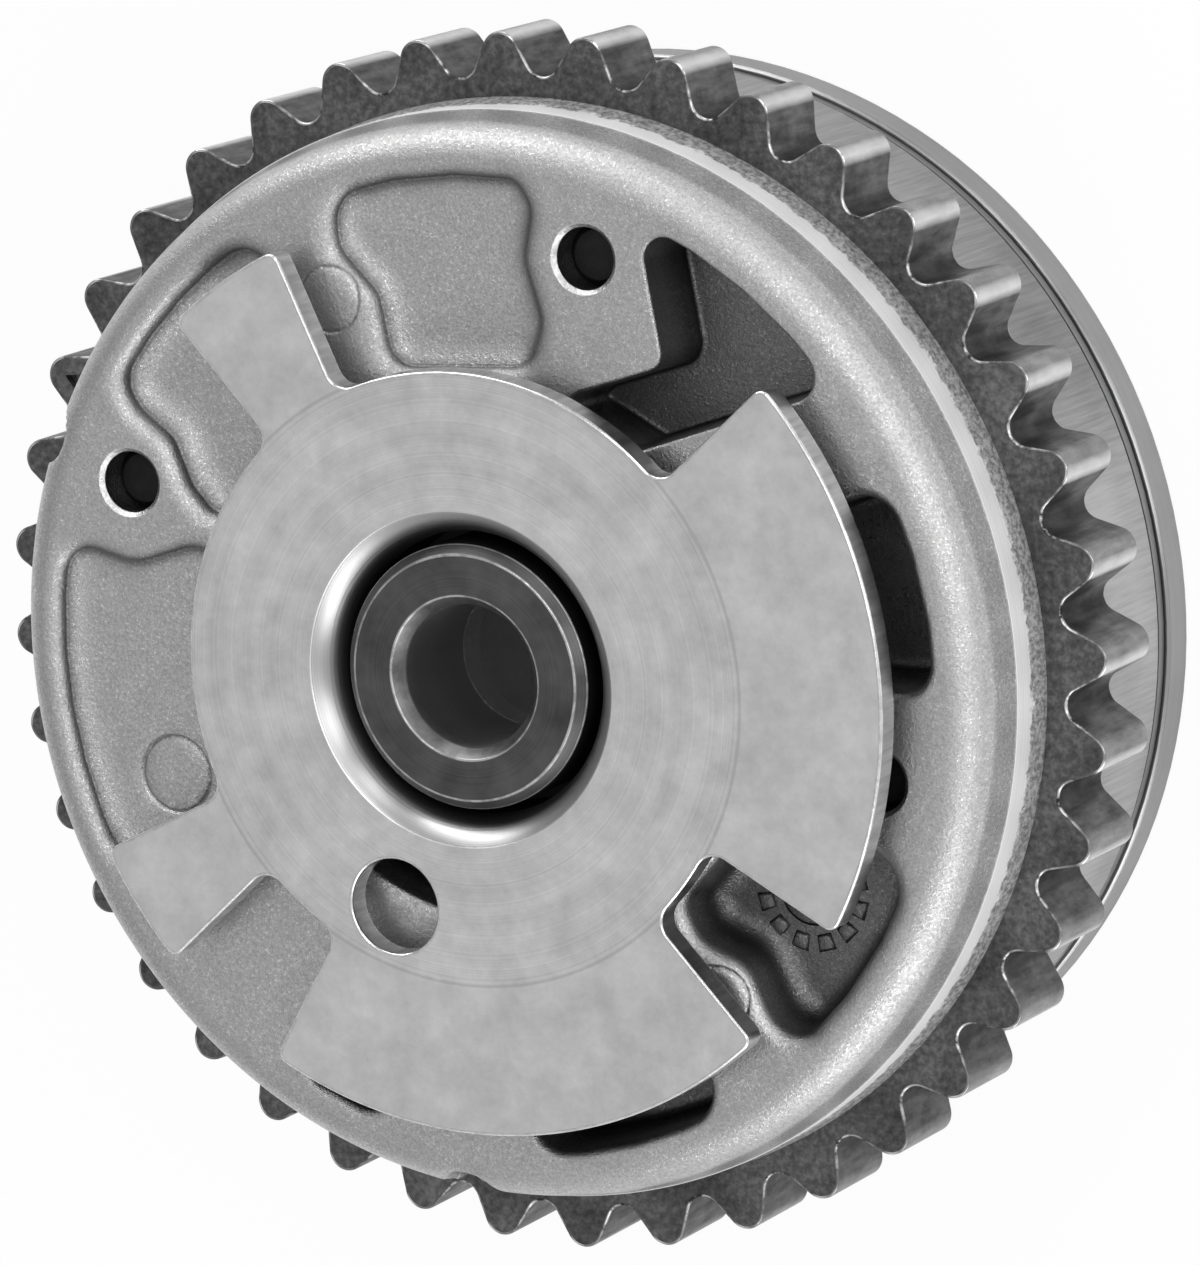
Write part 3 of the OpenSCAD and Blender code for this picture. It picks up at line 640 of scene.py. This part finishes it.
def wall_levels(depth, roll, floor, draft):
    """Places across a pocket's edge where the mesh has a line."""
    wide = foot_width(depth, floor)
    over = [roll * (math.sin(math.radians(a)) - 1) for a in (0, 14, 28, 42, 55, 67, 79, 90)]
    foot = [draft + wide * (1 - math.cos(math.radians(a))) for a in (0, 12, 26, 42, 58, 74, 90)]
    return [-roll - 0.25] + over + foot + [draft + wide + 0.25]


def ring_points(centre, r, count):
    a = np.arange(count) * 2 * math.pi / count
    return np.asarray(centre) + r * np.stack([np.cos(a), np.sin(a)], 1)


def dial_pads():
    """Outlines of the mould's date ring: raised pads round a low disc."""
    pads = [ring_points(DIAL, DIAL_DISC, 40)]
    near, far = DIAL_R - PAD_HALF, DIAL_R + PAD_HALF
    for k in range(DIAL_PADS):
        middle = 360 * k / DIAL_PADS + DIAL_TURN
        corners = [(near, -PAD_TURN), (far, -PAD_TURN), (far, PAD_TURN), (near, PAD_TURN)]
        pads.append(np.array([DIAL + polar(r, middle + b) for r, b in corners]))
    return pads


# plan of the casting's top: lines along every edge, and a loose grid between them
HOLE_LINES = (2.45, 2.55, 2.6, 2.66, 2.93, 3.0, 3.06, 3.5)
MARK_LINES = (-0.3, -0.12, 0.0, 0.12, 0.3)
GRID_X, GRID_Y, GRID_CLEAR = 1.4, 1.2, 0.45
screw_places = [polar(SCREW_C, a) for a in SCREWS]
lines = [pocket_line(pocket[5]) for pocket in POCKETS]
field = [ring_points((0, 0), r, RIM_STEPS) for r in (BORE_TOP, FIELD_OUT)]
field += [ring_points((0, 0), r, RIM_STEPS // 2) for r in (42.1, 42.4, 42.7)]
for (depth, roll, _, floor, draft, _), line in zip(POCKETS, lines):
    inward = -edge_normals(line)
    for level in wall_levels(depth, roll, floor, draft):
        moved = line + inward * level
        field.append(moved[np.abs(depth_inside(moved, line) - level) < 0.03])
for place in screw_places:
    field += [ring_points(place, r, 72) for r in HOLE_LINES]
for place, r, _ in EJECTORS:
    field += [ring_points(place, r + d, 72) for d in MARK_LINES]
grid = np.array([(x + GRID_X / 2 * (j % 2), y) for j, y in enumerate(np.arange(-42, 42, GRID_Y))
                 for x in np.arange(-42, 42, GRID_X)])
away = np.hypot(*grid.T)
grid = grid[(away > COVER_BORE + 1) & (away < FIELD_OUT - 0.6)]
known = np.concatenate(field)
gap = np.array([np.hypot(*(known - g).T).min() for g in grid])
plan = np.concatenate([known, grid[gap > GRID_CLEAR]])
plan = plan[(np.hypot(*plan.T) > BORE_TOP - 0.01) & (np.hypot(*plan.T) < FIELD_OUT + 0.01)]


def rim_drop(r):
    return RIM_ROUND - np.sqrt(RIM_ROUND ** 2 - np.clip(r - RIM_START, 0, RIM_ROUND) ** 2)


def cover_shape(xy):
    """Height of the casting's top over the chain ring, and the painted shade each point gets in a pocket's
    crease, an ejector groove or a screw hole.
    """
    drop, painted_shade = np.zeros(len(xy)), np.zeros(len(xy))
    for (depth, roll, top, floor, draft, _), line in zip(POCKETS, lines):
        inside = depth_inside(xy, line)
        drop = np.maximum(drop, wall_drop(inside, depth, roll, top, floor, draft))
        # painted shade along the foot of each pocket's wall
        below, above = (0.62, 0.55) if depth < SHALLOW else (min(0.25 + 0.45 * floor, 0.75), 0.3)
        valley = np.where(inside > draft / 2, below, above)
        painted_shade = np.maximum(painted_shade, 1.25 * np.exp(-((inside - draft / 2) / valley) ** 2))
    for place, r, sunk in EJECTORS:
        d = np.hypot(*(xy - place).T)
        groove = np.clip(1 - np.abs(d - r) / 0.2, 0, 1)
        drop = drop + np.where(d < r, sunk * 0.4, 0) + groove * sunk
        # painted shade in the ring groove
        painted_shade = np.maximum(painted_shade, groove * sunk * 4)
    for place in screw_places:
        d = np.hypot(*(xy - place).T)
        hole = np.interp(d, [HOLE_R - 0.05, HOLE_R, CHAMFER_R], [HOLE_DROP, CHAMFER_DROP, 0.0])
        drop = np.maximum(drop, hole)
        # the hole's wall is painted dark as shade
        painted_shade = np.where(d < HOLE_R + 0.02, 1.9, painted_shade)
    away = np.hypot(*xy.T)
    drop[away > FIELD_OUT - 0.01] = 0
    return COVER_H - drop - rim_drop(away), painted_shade


made = delaunay_2d_cdt([Vector(p) for p in plan], [], [], 0, 1e-5)
plan = np.array([tuple(v) for v in made[0]])
heights, painted_shade = cover_shape(plan)
points = [(x, y, COVER_LOW + h) for (x, y), h in zip(plan, heights)]
faces = [tuple(f) for f in made[2] if np.hypot(*plan[list(f)].mean(0)) > BORE_TOP - 1e-3]
to_screw = np.min([np.hypot(*(plan - place).T) for place in screw_places], 0)
wear = list(np.where((to_screw >= HOLE_R + 0.02) & (to_screw <= CHAMFER_R + 0.01), 0.65, 0.0))
kinds = [0] * len(faces)
hard_rows = np.zeros(len(points), int)

# rim as radius, height, number of a hard row or 0, and skimmed or not; the bore has no skimmed rows
RIM = [(FIELD_OUT, COVER_H - float(rim_drop(FIELD_OUT)), 0, 0)]
for a in map(math.radians, (70, 62, 54, 46, 38, 30, 21, 12.65)):
    RIM.append((RIM_START + RIM_ROUND * math.cos(a), COVER_H - RIM_ROUND * (1 - math.sin(a)), 0, 0))
RIM += [(45.65, 7.15, 0, 0), (45.8, 6.45, 0, 0), (46.12, 5.02, 0, 0), (46.15, 4.9, 1, 0), (46.2, 4.9, 2, 1),
        (46.25, 4.84, 0, 1), (46.25, 4.7, 0, 1), (46.25, 2.1, 0, 1), (46.33, 1.75, 0, 1), (46.5, 0.8, 0, 1),
        (46.6, 0.0, 5, 1)]
BORE = [(COVER_BORE, 0.0, 6), (COVER_BORE, COVER_H - 0.4, 0), (COVER_BORE + 0.06, COVER_H - 0.12, 0),
        (BORE_TOP, COVER_H, 0)]
# the rim's steep cone between these heights in millimetres is painted this much darker as shade
CONE_LOW, CONE_TOP, CONE_SHADE = 5, 7.5, 0.58
NOTCH_CENTRE, NOTCH_R, NO_NOTCH = 46.9, 3.2, 60.0


def notch_reach(degrees):
    """How far out the rim may go at an angle before a notch's wall."""
    reach = NO_NOTCH
    for a in SCREWS[2:]:
        off = math.radians((degrees - a + 180) % 360 - 180)
        across = NOTCH_CENTRE * math.sin(off)
        if NOTCH_R > abs(across) and abs(off) < 1:
            reach = NOTCH_CENTRE * math.cos(off) - math.sqrt(NOTCH_R ** 2 - across ** 2)
    return reach


angles = [360 * k / RIM_STEPS for k in range(RIM_STEPS)]
reaches = [notch_reach(a) for a in angles]
rows = [[(*polar(min(r, reach), a), COVER_LOW + z) for a, reach in zip(angles, reaches)]
        for r, z, _, _ in RIM]
rows += [[(*polar(r, a), COVER_LOW + z) for a in angles] for r, z, _ in BORE]
base = len(points)
for row, (_, z, hard, *_) in zip(rows, RIM + BORE):
    points += row
    wear += [0.3 if hard in (1, 2) else 0.0] * RIM_STEPS
    painted_shade = np.r_[painted_shade, np.full(RIM_STEPS, CONE_SHADE if CONE_LOW < z < CONE_TOP else 0.0)]
    hard_rows = np.r_[hard_rows, [hard] * RIM_STEPS]
faces += [tuple(base + k for k in quad) for quad in swept_faces(len(rows), RIM_STEPS, False)]
for s in range(len(rows) - 1):
    skimmed_row = s < len(RIM) - 1 and RIM[s][3] and RIM[s + 1][3]
    kinds += [1 if skimmed_row and reach == NO_NOTCH else 0 for reach in reaches]

# the casting's separate rows meet in shared points
spots = np.round(np.array(points), 4)
_, first, same = np.unique(spots, axis=0, return_index=True, return_inverse=True)
same = same.ravel()
kept = [(tuple(dict.fromkeys(int(same[k]) for k in f)), kind) for f, kind in zip(faces, kinds)]
kept = [(f, kind) for f, kind in kept if len(f) > 2]
# inset, rise over the pocket's floor and painted shade, up the side of a date ring's pad
PAD_WALL = [(-0.16, -0.1, 1.7), (-0.16, 0.02, 1.7), (0, 0.03, 1.6), (0.05, 0.2, 0.2), (0.2, 0.26, 0)]
pad_steps = [(inset, DIAL_FLOOR + rise, dark, False) for inset, rise, dark in PAD_WALL]
pads = [walls_and_caps((pad, -edge_normals(pad), pad_steps), []) for pad in dial_pads()]
casting = [spots[first]] + [np.array(pad[0]) for pad in pads]
starts = np.cumsum([0] + [len(c) for c in casting])
casting = np.concatenate(casting)
cast_faces = [f for f, _ in kept]
for pad, start in zip(pads, starts[1:]):
    cast_faces += [tuple(int(k + start) for k in f) for f in pad[1]]
cast_kinds = [kind for _, kind in kept] + [0] * (len(cast_faces) - len(kept))
added = len(casting) - len(first)
wear = np.r_[np.array(wear)[first], np.zeros(added)]
painted_shade = np.r_[painted_shade[first], np.concatenate([pad[3] for pad in pads])]
hard_rows = np.r_[hard_rows[first], np.zeros(added, int)]

cast_skin, tree, shader = metal("cover_cast_aluminium")
grain = use(tree, metal_grain, Grains_per_metre=3400.0)
fine = use(tree, metal_grain, Grains_per_metre=7000.0)
speckle = weigh(tree, grain["Grain"], 0.4, fine["Grain"], 0.35)
speckle = calc(tree, "ADD", speckle, calc(tree, "MULTIPLY", grain["Patch"], 0.25))
skin = tone(tree, speckle, (0.22, 0.4), (0.5, 0.51), (0.7, 0.6), (0.82, 0.86))
# painted shade: deep pockets darken with depth, and creases, grooves and holes darken by their painted shade
# mask
painted_depth_shade = tone(tree, mask(tree, "sunk"), (0.3, 1.0), (0.66, 0.36), (0.9, 0.38), (1.0, 0.52))
painted_shade_factor = remap(tree, mask(tree, "painted_shade"), 0.0, 2.0, 1.0, 0.02)
skin = mix_colour(tree, 1.0, skin, painted_depth_shade, "MULTIPLY")
worn_coat(tree, shader, mix_colour(tree, 1.0, skin, painted_shade_factor, "MULTIPLY"),
          tone(tree, speckle, (0.25, 0.48), (0.65, 0.32), (0.8, 0.18)), 0.86, 0.26, 0.62, 0.00008, speckle)

# the cut runs out raggedly within 2.6 mm under this height in millimetres; below it is cast skin, painted
# darker as shade beside the chain ring
RUN_OUT = 30.0
skimmed, tree, shader = metal("cover_skimmed_band", 0.6)
marks = use(tree, lathe_marks, Lines_per_metre=4200.0, On_the_side=1.0)
grain = use(tree, metal_grain, Grains_per_metre=2300.0)
place = spot(tree)
height = put(tree, "SeparateXYZ", i0=place).outputs["Z"]
ragged = weigh(tree, height, 1000.0, noise(tree, place, 900.0, 4.0, 0.7), 2.6)
cut_here = remap(tree, ragged, RUN_OUT, RUN_OUT + 0.35)
# cast skin under the cut, painted darker than the cover's other skin as shade beside the chain ring
skin = tone(tree, grain["Grain"], (0.1, 0.2), (0.9, 0.52))
skin = mix_colour(tree, cut_here, skin, tone(tree, marks["Marks"], (0.3, 0.72), (0.7, 0.87)))
relief = put(tree, "Mix", i0=cut_here, i2=grain["Grain"], i3=calc(tree, "MULTIPLY", marks["Marks"], 0.4))
coat(tree, shader, skin, tone(tree, grain["Patch"], (0.3, 0.62), (0.7, 0.74)),
     0.5, 0.00008, relief.outputs[0])

cover = new_piece("die_cast_cover", casting, cast_faces, [cast_skin, skimmed])
mesh = cover.data
mesh.polygons.foreach_set("material_index", cast_kinds)
# depth under the cover's face, which darkens deep pockets as painted shade
sunk = (COVER_LOW + COVER_H - casting[:, 2]) / DEEPEST
sunk = np.where(np.hypot(casting[:, 0], casting[:, 1]) < FIELD_OUT, sunk, 0)
for label, values in (("wear", wear), ("sunk", sunk), ("painted_shade", painted_shade)):
    point_mask(mesh, label, values)
pair = hard_rows[edge_ends(mesh)]
hard_edges(mesh, (pair[:, 0] == pair[:, 1]) & (pair[:, 0] > 0))
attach(cover, "housing")
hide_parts("front_cover")


# Clamp screws: four flat-head steel screws from the rear plate into the cover's tapped holes.
# They are black-oxide steel with a six-lobed drive; their ends show dark at the bottom of the holes.
screw_black, tree, shader = metal("screw_black_oxide", 0.7)
grain = use(tree, metal_grain, Grains_per_metre=2600.0)
coat(tree, shader, tone(tree, grain["Patch"], (0.3, 0.012), (0.7, 0.026)),
     tone(tree, grain["Grain"], (0.0, 0.48), (1.0, 0.62)), 0.3, 0.00003, grain["Grain"])
softened("clamp_screws", 0.00015, screw_black)


# Target wheel: the lobed steel sheet that a sensor reads, deep-drawn to a collar round the centre.
# It is blanked and drawn, and its cut edges are bright.
# Its face is turned inside the lobes, so it has rings there.
LOBES = [(-32.8, 38.6), (111.0, 128.4), (202.4, 218.6), (237.0, 309.0)]
LOBE_R, DISC_R, ROOT_FILLET, TIP_FILLET = 38.7, 25.8, 1.8, 1.0
WHEEL_LOW, WHEEL_TOP, COLLAR_R, COLLAR_T = 38.9, 41.3, 12.0, 2.0
# the last of these is how far under the wheel's top the collar's wall is painted dark as shade
LIP, LIP_START, PAINTED_SHADE_DROP = 2.2, math.radians(30), 3.5
NOSE_Z, BASE_TOP, BOLT_R = 29.5, 31.5, 6.05
WHEEL_HOLE, WHEEL_HOLE_R = polar(20.9, 247), 4.05
WHEEL_STEPS = 240


def wheel_line():
    root_off = math.degrees(math.asin(ROOT_FILLET / (DISC_R + ROOT_FILLET)))
    tip_off = math.degrees(math.asin(TIP_FILLET / (LOBE_R - TIP_FILLET)))
    line = []
    for k, (a, b) in enumerate(LOBES):
        line += arc(polar(DISC_R + ROOT_FILLET, a - root_off), ROOT_FILLET, a - root_off + 180, a + 90, 9)
        line += arc(polar(LOBE_R - TIP_FILLET, a + tip_off), TIP_FILLET, a - 90, a + tip_off, 9)
        line += arc((0, 0), LOBE_R, a + tip_off, b - tip_off, int((b - a) * 1.2))[1:-1]
        line += arc(polar(LOBE_R - TIP_FILLET, b - tip_off), TIP_FILLET, b - tip_off, b + 90, 9)
        line += arc(polar(DISC_R + ROOT_FILLET, b + root_off), ROOT_FILLET, b - 90, b + root_off - 180, 9)
        after = LOBES[(k + 1) % 4][0] + (360 if k == 3 else 0)
        line += arc((0, 0), DISC_R, b + root_off, after - root_off, int((after - b) * 0.8))[1:-1]
    return np.array(line)


def lathe(profile, steps):
    """A closed profile of (radius, height, wear, hard edge) swept round the axis."""
    points = [(*polar(r, 360 * k / steps), z) for k in range(steps) for r, z, _, _ in profile]
    faces = swept_faces(steps, len(profile), True)
    return points, faces, [p[2] for p in profile] * steps, [p[3] for p in profile] * steps


# inset, drop, wear and hard edge across a sheared edge
SHEARED = [(0.28, 0.0, 0.0, False), (0.16, 0.0, 0.8, True), (0.05, 0.05, 1.0, False), (0.0, 0.16, 0.8, False),
           (0.0, 0.28, 0.0, False)]
wheel_wall = eased_wall(SHEARED, WHEEL_LOW, WHEEL_TOP)
line = wheel_line()
hole = ring_points(WHEEL_HOLE, WHEEL_HOLE_R, 96)
collar_hole = ring_points((0, 0), COLLAR_R + LIP, WHEEL_STEPS)
points, faces, kinds, wear, sharp = walls_and_caps(
    (line, -edge_normals(line), wheel_wall),
    [(hole, edge_normals(hole), wheel_wall),
     (collar_hole, edge_normals(collar_hole), [(0, WHEEL_LOW, 0, True), (0, WHEEL_TOP, 0, True)])])
profile = [(BOLT_R, NOSE_Z, 0, True), (COLLAR_R + COLLAR_T, NOSE_Z, 0, True),
           (COLLAR_R + COLLAR_T, WHEEL_LOW, 0, True), (COLLAR_R + LIP, WHEEL_LOW, 0, True),
           (COLLAR_R + LIP, WHEEL_TOP, 0, True)]
lip_r = LIP / (1 - math.sin(LIP_START))
for degrees in (31.5, 33.5, 36, 40, 44, 48, 54, 60, 66, 72, 78, 84, 90):
    a = math.radians(degrees)
    drop = lip_r * (math.cos(LIP_START) - math.cos(a))
    rub = max(0.0, 1 - (degrees - 31.5) / 4)
    profile.append((COLLAR_R + lip_r * (1 - math.sin(a)), WHEEL_TOP - drop, rub, False))
profile += [(COLLAR_R, BASE_TOP, 0, True), (BOLT_R, BASE_TOP, 0, True)]


def collar_kind(corners):
    """Which of the wheel's looks a face of the collar has: mouth, painted shade deep in the collar, face or
    drawn wall.
    """
    reach, low = [math.hypot(x, y) for x, y, _ in corners], min(z for _, _, z in corners)
    if max(reach) < BOLT_R + 0.01:
        return 2
    if max(reach) < COLLAR_R + 0.02 and low < WHEEL_TOP - PAINTED_SHADE_DROP:
        return 4
    on_lip = COLLAR_R + 0.9 * LIP < min(reach) < max(reach)
    return 0 if on_lip and low > WHEEL_LOW + 1 else 3


collar, collar_faces, collar_wear, collar_sharp = lathe(profile, WHEEL_STEPS)
kinds += [collar_kind([collar[k] for k in f]) for f in collar_faces]
faces += [tuple(k + len(points) for k in f) for f in collar_faces]
points, wear, sharp = points + collar, wear + collar_wear, sharp + collar_sharp

# the face is turned out to this radius in metres, where the tool left a fine step
FACED_R = 0.0259
wheel_face, tree, shader = metal("wheel_turned_face")
marks = use(tree, lathe_marks, Lines_per_metre=5200.0, On_the_side=0.0)
grain = use(tree, metal_grain, Grains_per_metre=2600.0)
where = spot(tree)
radius = axis_radius(tree, where)
faced = remap(tree, radius, FACED_R - 0.0002, FACED_R + 0.0002, 1.0, 0.12)
off_step = calc(tree, "ABSOLUTE", calc(tree, "SUBTRACT", radius, FACED_R))
step_line = remap(tree, off_step, 0.0, 0.00022, 0.35, 0.0)
rings = calc(tree, "MULTIPLY", calc(tree, "SUBTRACT", marks["Marks"], 0.5), faced)
bands = calc(tree, "MULTIPLY", calc(tree, "SUBTRACT", marks["Bands"], 0.5), faced)
haze = weigh(tree, grain["Patch"], 0.5, noise(tree, where, 520.0, 6.0, 0.75), 0.5)
value = weigh(tree, rings, 0.6, calc(tree, "SUBTRACT", haze, 0.5), 1.3)
value = calc(tree, "ADD", value, calc(tree, "MULTIPLY", bands, 0.22))
value = calc(tree, "SUBTRACT", calc(tree, "ADD", value, 0.5), step_line)
relief = calc(tree, "ADD", rings, calc(tree, "MULTIPLY", grain["Grain"], 0.35))
worn_coat(tree, shader, tone(tree, value, (0.2, 0.54), (0.8, 0.82)),
          tone(tree, grain["Patch"], (0.3, 0.36), (0.7, 0.46)), 0.92, 0.2, 0.25, 0.00004, relief)

wheel_cut, tree, shader = metal("wheel_cut_edge")
grain = use(tree, metal_grain, Grains_per_metre=1900.0)
shear = noise(tree, scaled(tree, spot(tree), (1, 1, 0.12)), 1800.0, 3.0)
worn_coat(tree, shader, tone(tree, shear, (0.3, 0.4), (0.7, 0.62)),
          tone(tree, grain["Patch"], (0.3, 0.26), (0.7, 0.42)), 0.92, 0.2, 0.3, 0.00004, shear)

oiled_mouth = turned("wheel_mouth_oiled_steel", 0.5, 0.72, 0.34, 6000.0, 1.0, 0.00001)
drawn_collar = turned("wheel_drawn_collar", 0.34, 0.54, 0.32, 7000.0, 0.0, 0.00002)
# the collar's deep wall and the bush's low side are painted near black as shade
painted_shade_dark = turned("wheel_collar_painted_shade", 0.03, 0.06, 0.5, 6000.0, 1.0, 0.00001)
wheel_looks = [wheel_face, wheel_cut, oiled_mouth, drawn_collar, painted_shade_dark]
target_wheel = new_piece("target_wheel", points, faces, wheel_looks)
finish_mesh(target_wheel, kinds, wear, sharp)
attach(target_wheel, "rotor")
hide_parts("reluctor_wheel")


# Centre bush: the dark turned steel spacer under the camshaft bolt's head.
# It drops into the wheel's collar, and its rim and its bore are chamfered at the top.
# The chamfers' edges are rubbed to bright lines.
BUSH_R, BUSH_TOP = 11.2, 40.5
profile = [(BOLT_R, BASE_TOP, 0, True), (BUSH_R, BASE_TOP, 0, True), (BUSH_R, BUSH_TOP - 0.86, 0, False),
           (BUSH_R, BUSH_TOP - 0.8, 1, False), (BUSH_R - 0.05, BUSH_TOP - 0.72, 1, False),
           (BUSH_R - 0.12, BUSH_TOP - 0.66, 0, False), (BUSH_R - 0.7, BUSH_TOP - 0.1, 0, False),
           (BUSH_R - 0.8, BUSH_TOP - 0.02, 1, False), (BUSH_R - 0.88, BUSH_TOP, 1, False),
           (BUSH_R - 0.98, BUSH_TOP, 0, False), (BOLT_R + 1.0, BUSH_TOP, 0, False),
           (BOLT_R + 0.92, BUSH_TOP, 1, False), (BOLT_R + 0.84, BUSH_TOP - 0.03, 1, False),
           (BOLT_R + 0.76, BUSH_TOP - 0.1, 0.2, False), (BOLT_R + 0.06, BUSH_TOP - 1.02, 0.2, False),
           (BOLT_R, BUSH_TOP - 1.12, 0.7, False), (BOLT_R, BUSH_TOP - 1.3, 0, False)]


def bush_kind(corners):
    """Which of the bush's looks a face has: oiled bore, painted shade low on its side, or turned top."""
    if all(math.hypot(x, y) < BOLT_R + 0.01 for x, y, _ in corners):
        return 1
    return 2 if min(z for _, _, z in corners) < BUSH_TOP - 2 else 0


bush_dark, tree, shader = metal("bush_dark_turned_steel", 0.9)
marks = use(tree, lathe_marks, Lines_per_metre=6200.0, On_the_side=0.0)
grain = use(tree, metal_grain, Grains_per_metre=2200.0)
value = weigh(tree, marks["Marks"], 0.35, grain["Patch"], 0.65)
worn_coat(tree, shader, tone(tree, value, (0.35, 0.06), (0.65, 0.13)),
          tone(tree, grain["Patch"], (0.3, 0.32), (0.7, 0.46)), 0.6, 0.25, 0.25, 0.00003, marks["Marks"])
points, faces, wear, sharp = lathe(profile, 192)
bush = new_piece("bolt_bush", points, faces, [bush_dark, oiled_mouth, painted_shade_dark])
finish_mesh(bush, [bush_kind([points[k] for k in f]) for f in faces], wear, sharp)
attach(bush, "rotor")
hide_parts("centre_bush")


# Studio: a dim white room with a pale bench that shows white to the camera and keeps the part's shadow.
# Five soft boxes light it: one past the top of the picture, one below it, and three round the camera.
BENCH_HALF, BENCH_Z = 3, -0.0002
bench_mesh = bpy.data.meshes.new("bench")
corners = [(x * BENCH_HALF, y * BENCH_HALF, BENCH_Z) for x, y in ((-1, -1), (1, -1), (1, 1), (-1, 1))]
bench_mesh.from_pydata(corners, [], [(0, 1, 2, 3)])
bench = bpy.data.objects.new("bench", bench_mesh)
bpy.context.scene.collection.objects.link(bench)
bench_white = bpy.data.materials.new("bench_white")
bench_white.use_nodes = True
tree = bench_white.node_tree
tree.nodes.clear()
seen = put(tree, "LightPath").outputs["Is Camera Ray"]
matt = put(tree, "BsdfDiffuse", Color=(0.9, 0.9, 0.9, 1))
glow = put(tree, "Emission", Color=(1, 1, 1, 1), Strength=1.0)
both = put(tree, "MixShader", Fac=calc(tree, "MULTIPLY", seen, 0.93), i1=matt.outputs[0], i2=glow.outputs[0])
put(tree, "OutputMaterial", Surface=both.outputs[0])
bench_mesh.materials.append(bench_white)

sky = bpy.data.worlds.new("soft_room")
bpy.context.scene.world = sky
sky.use_nodes = True
tree = sky.node_tree
toward = put(tree, "SeparateXYZ", i0=put(tree, "TexCoord").outputs["Generated"]).outputs
near_side = remap(tree, weigh(tree, toward["X"], 0.45, toward["Y"], -0.75), -0.6, 0.5, 0.3, 1.0)
by_height = tone(tree, toward["Z"], (0.0, 0.55), (0.35, 0.45), (0.7, 0.56), (0.9, 0.58), (1.0, 0.5))
low_down = calc(tree, "SUBTRACT", 1.0, toward["Z"], clamp=True)
walls = mix_colour(tree, low_down, by_height, near_side, "MULTIPLY")
tree.links.new(walls, tree.nodes["Background"].inputs["Color"])
tree.nodes["Background"].inputs["Strength"].default_value = 1.2

# soft boxes: direction from the part, width, height and radiance
LAMP_AWAY = 1.3
for name, direction, wide, high, radiance in (
        ("box_top", (-0.36, 0.85, 0.26), 1.1, 0.4, 4.4),
        ("box_corner", (0.45, 0.72, 0.5), 0.5, 0.45, 2.6),
        ("box_high", (0.16, 0.45, 0.88), 0.45, 0.36, 3.2),
        ("strip_right", (0.72, 0.18, 0.66), 0.5, 0.9, 2.6),
        ("box_side", (0.4, -0.76, 0.42), 1.0, 0.6, 3.0)):
    lamp = bpy.data.lights.new(name, "AREA")
    lamp.shape, lamp.size, lamp.size_y = "RECTANGLE", wide, high
    lamp.energy = radiance * math.pi * wide * high
    held = bpy.data.objects.new(name, lamp)
    held.location = Vector(direction).normalized() * LAMP_AWAY
    held.rotation_euler = (-held.location).to_track_quat("-Z", "Y").to_euler()
    bpy.context.scene.collection.objects.link(held)

bpy.context.scene.view_settings.view_transform = "Standard"
lens = bpy.data.cameras.new("photo_camera")
lens.lens, lens.sensor_width, lens.sensor_fit = 231.7, 36.0, "AUTO"
lens.clip_start, lens.clip_end = 0.01, 50
camera = bpy.data.objects.new("photo_camera", lens)
right, up, back = (0.88104, -0.08769, -0.46485), (0.0, 0.98267, -0.18537), (0.47305, 0.16332, 0.86577)
turn = Matrix((right, up, back)).transposed().to_4x4()
camera.matrix_world = Matrix.Translation((0.3281, 0.1126, 0.6169)) @ turn
bpy.context.scene.collection.objects.link(camera)
bpy.context.scene.camera = camera
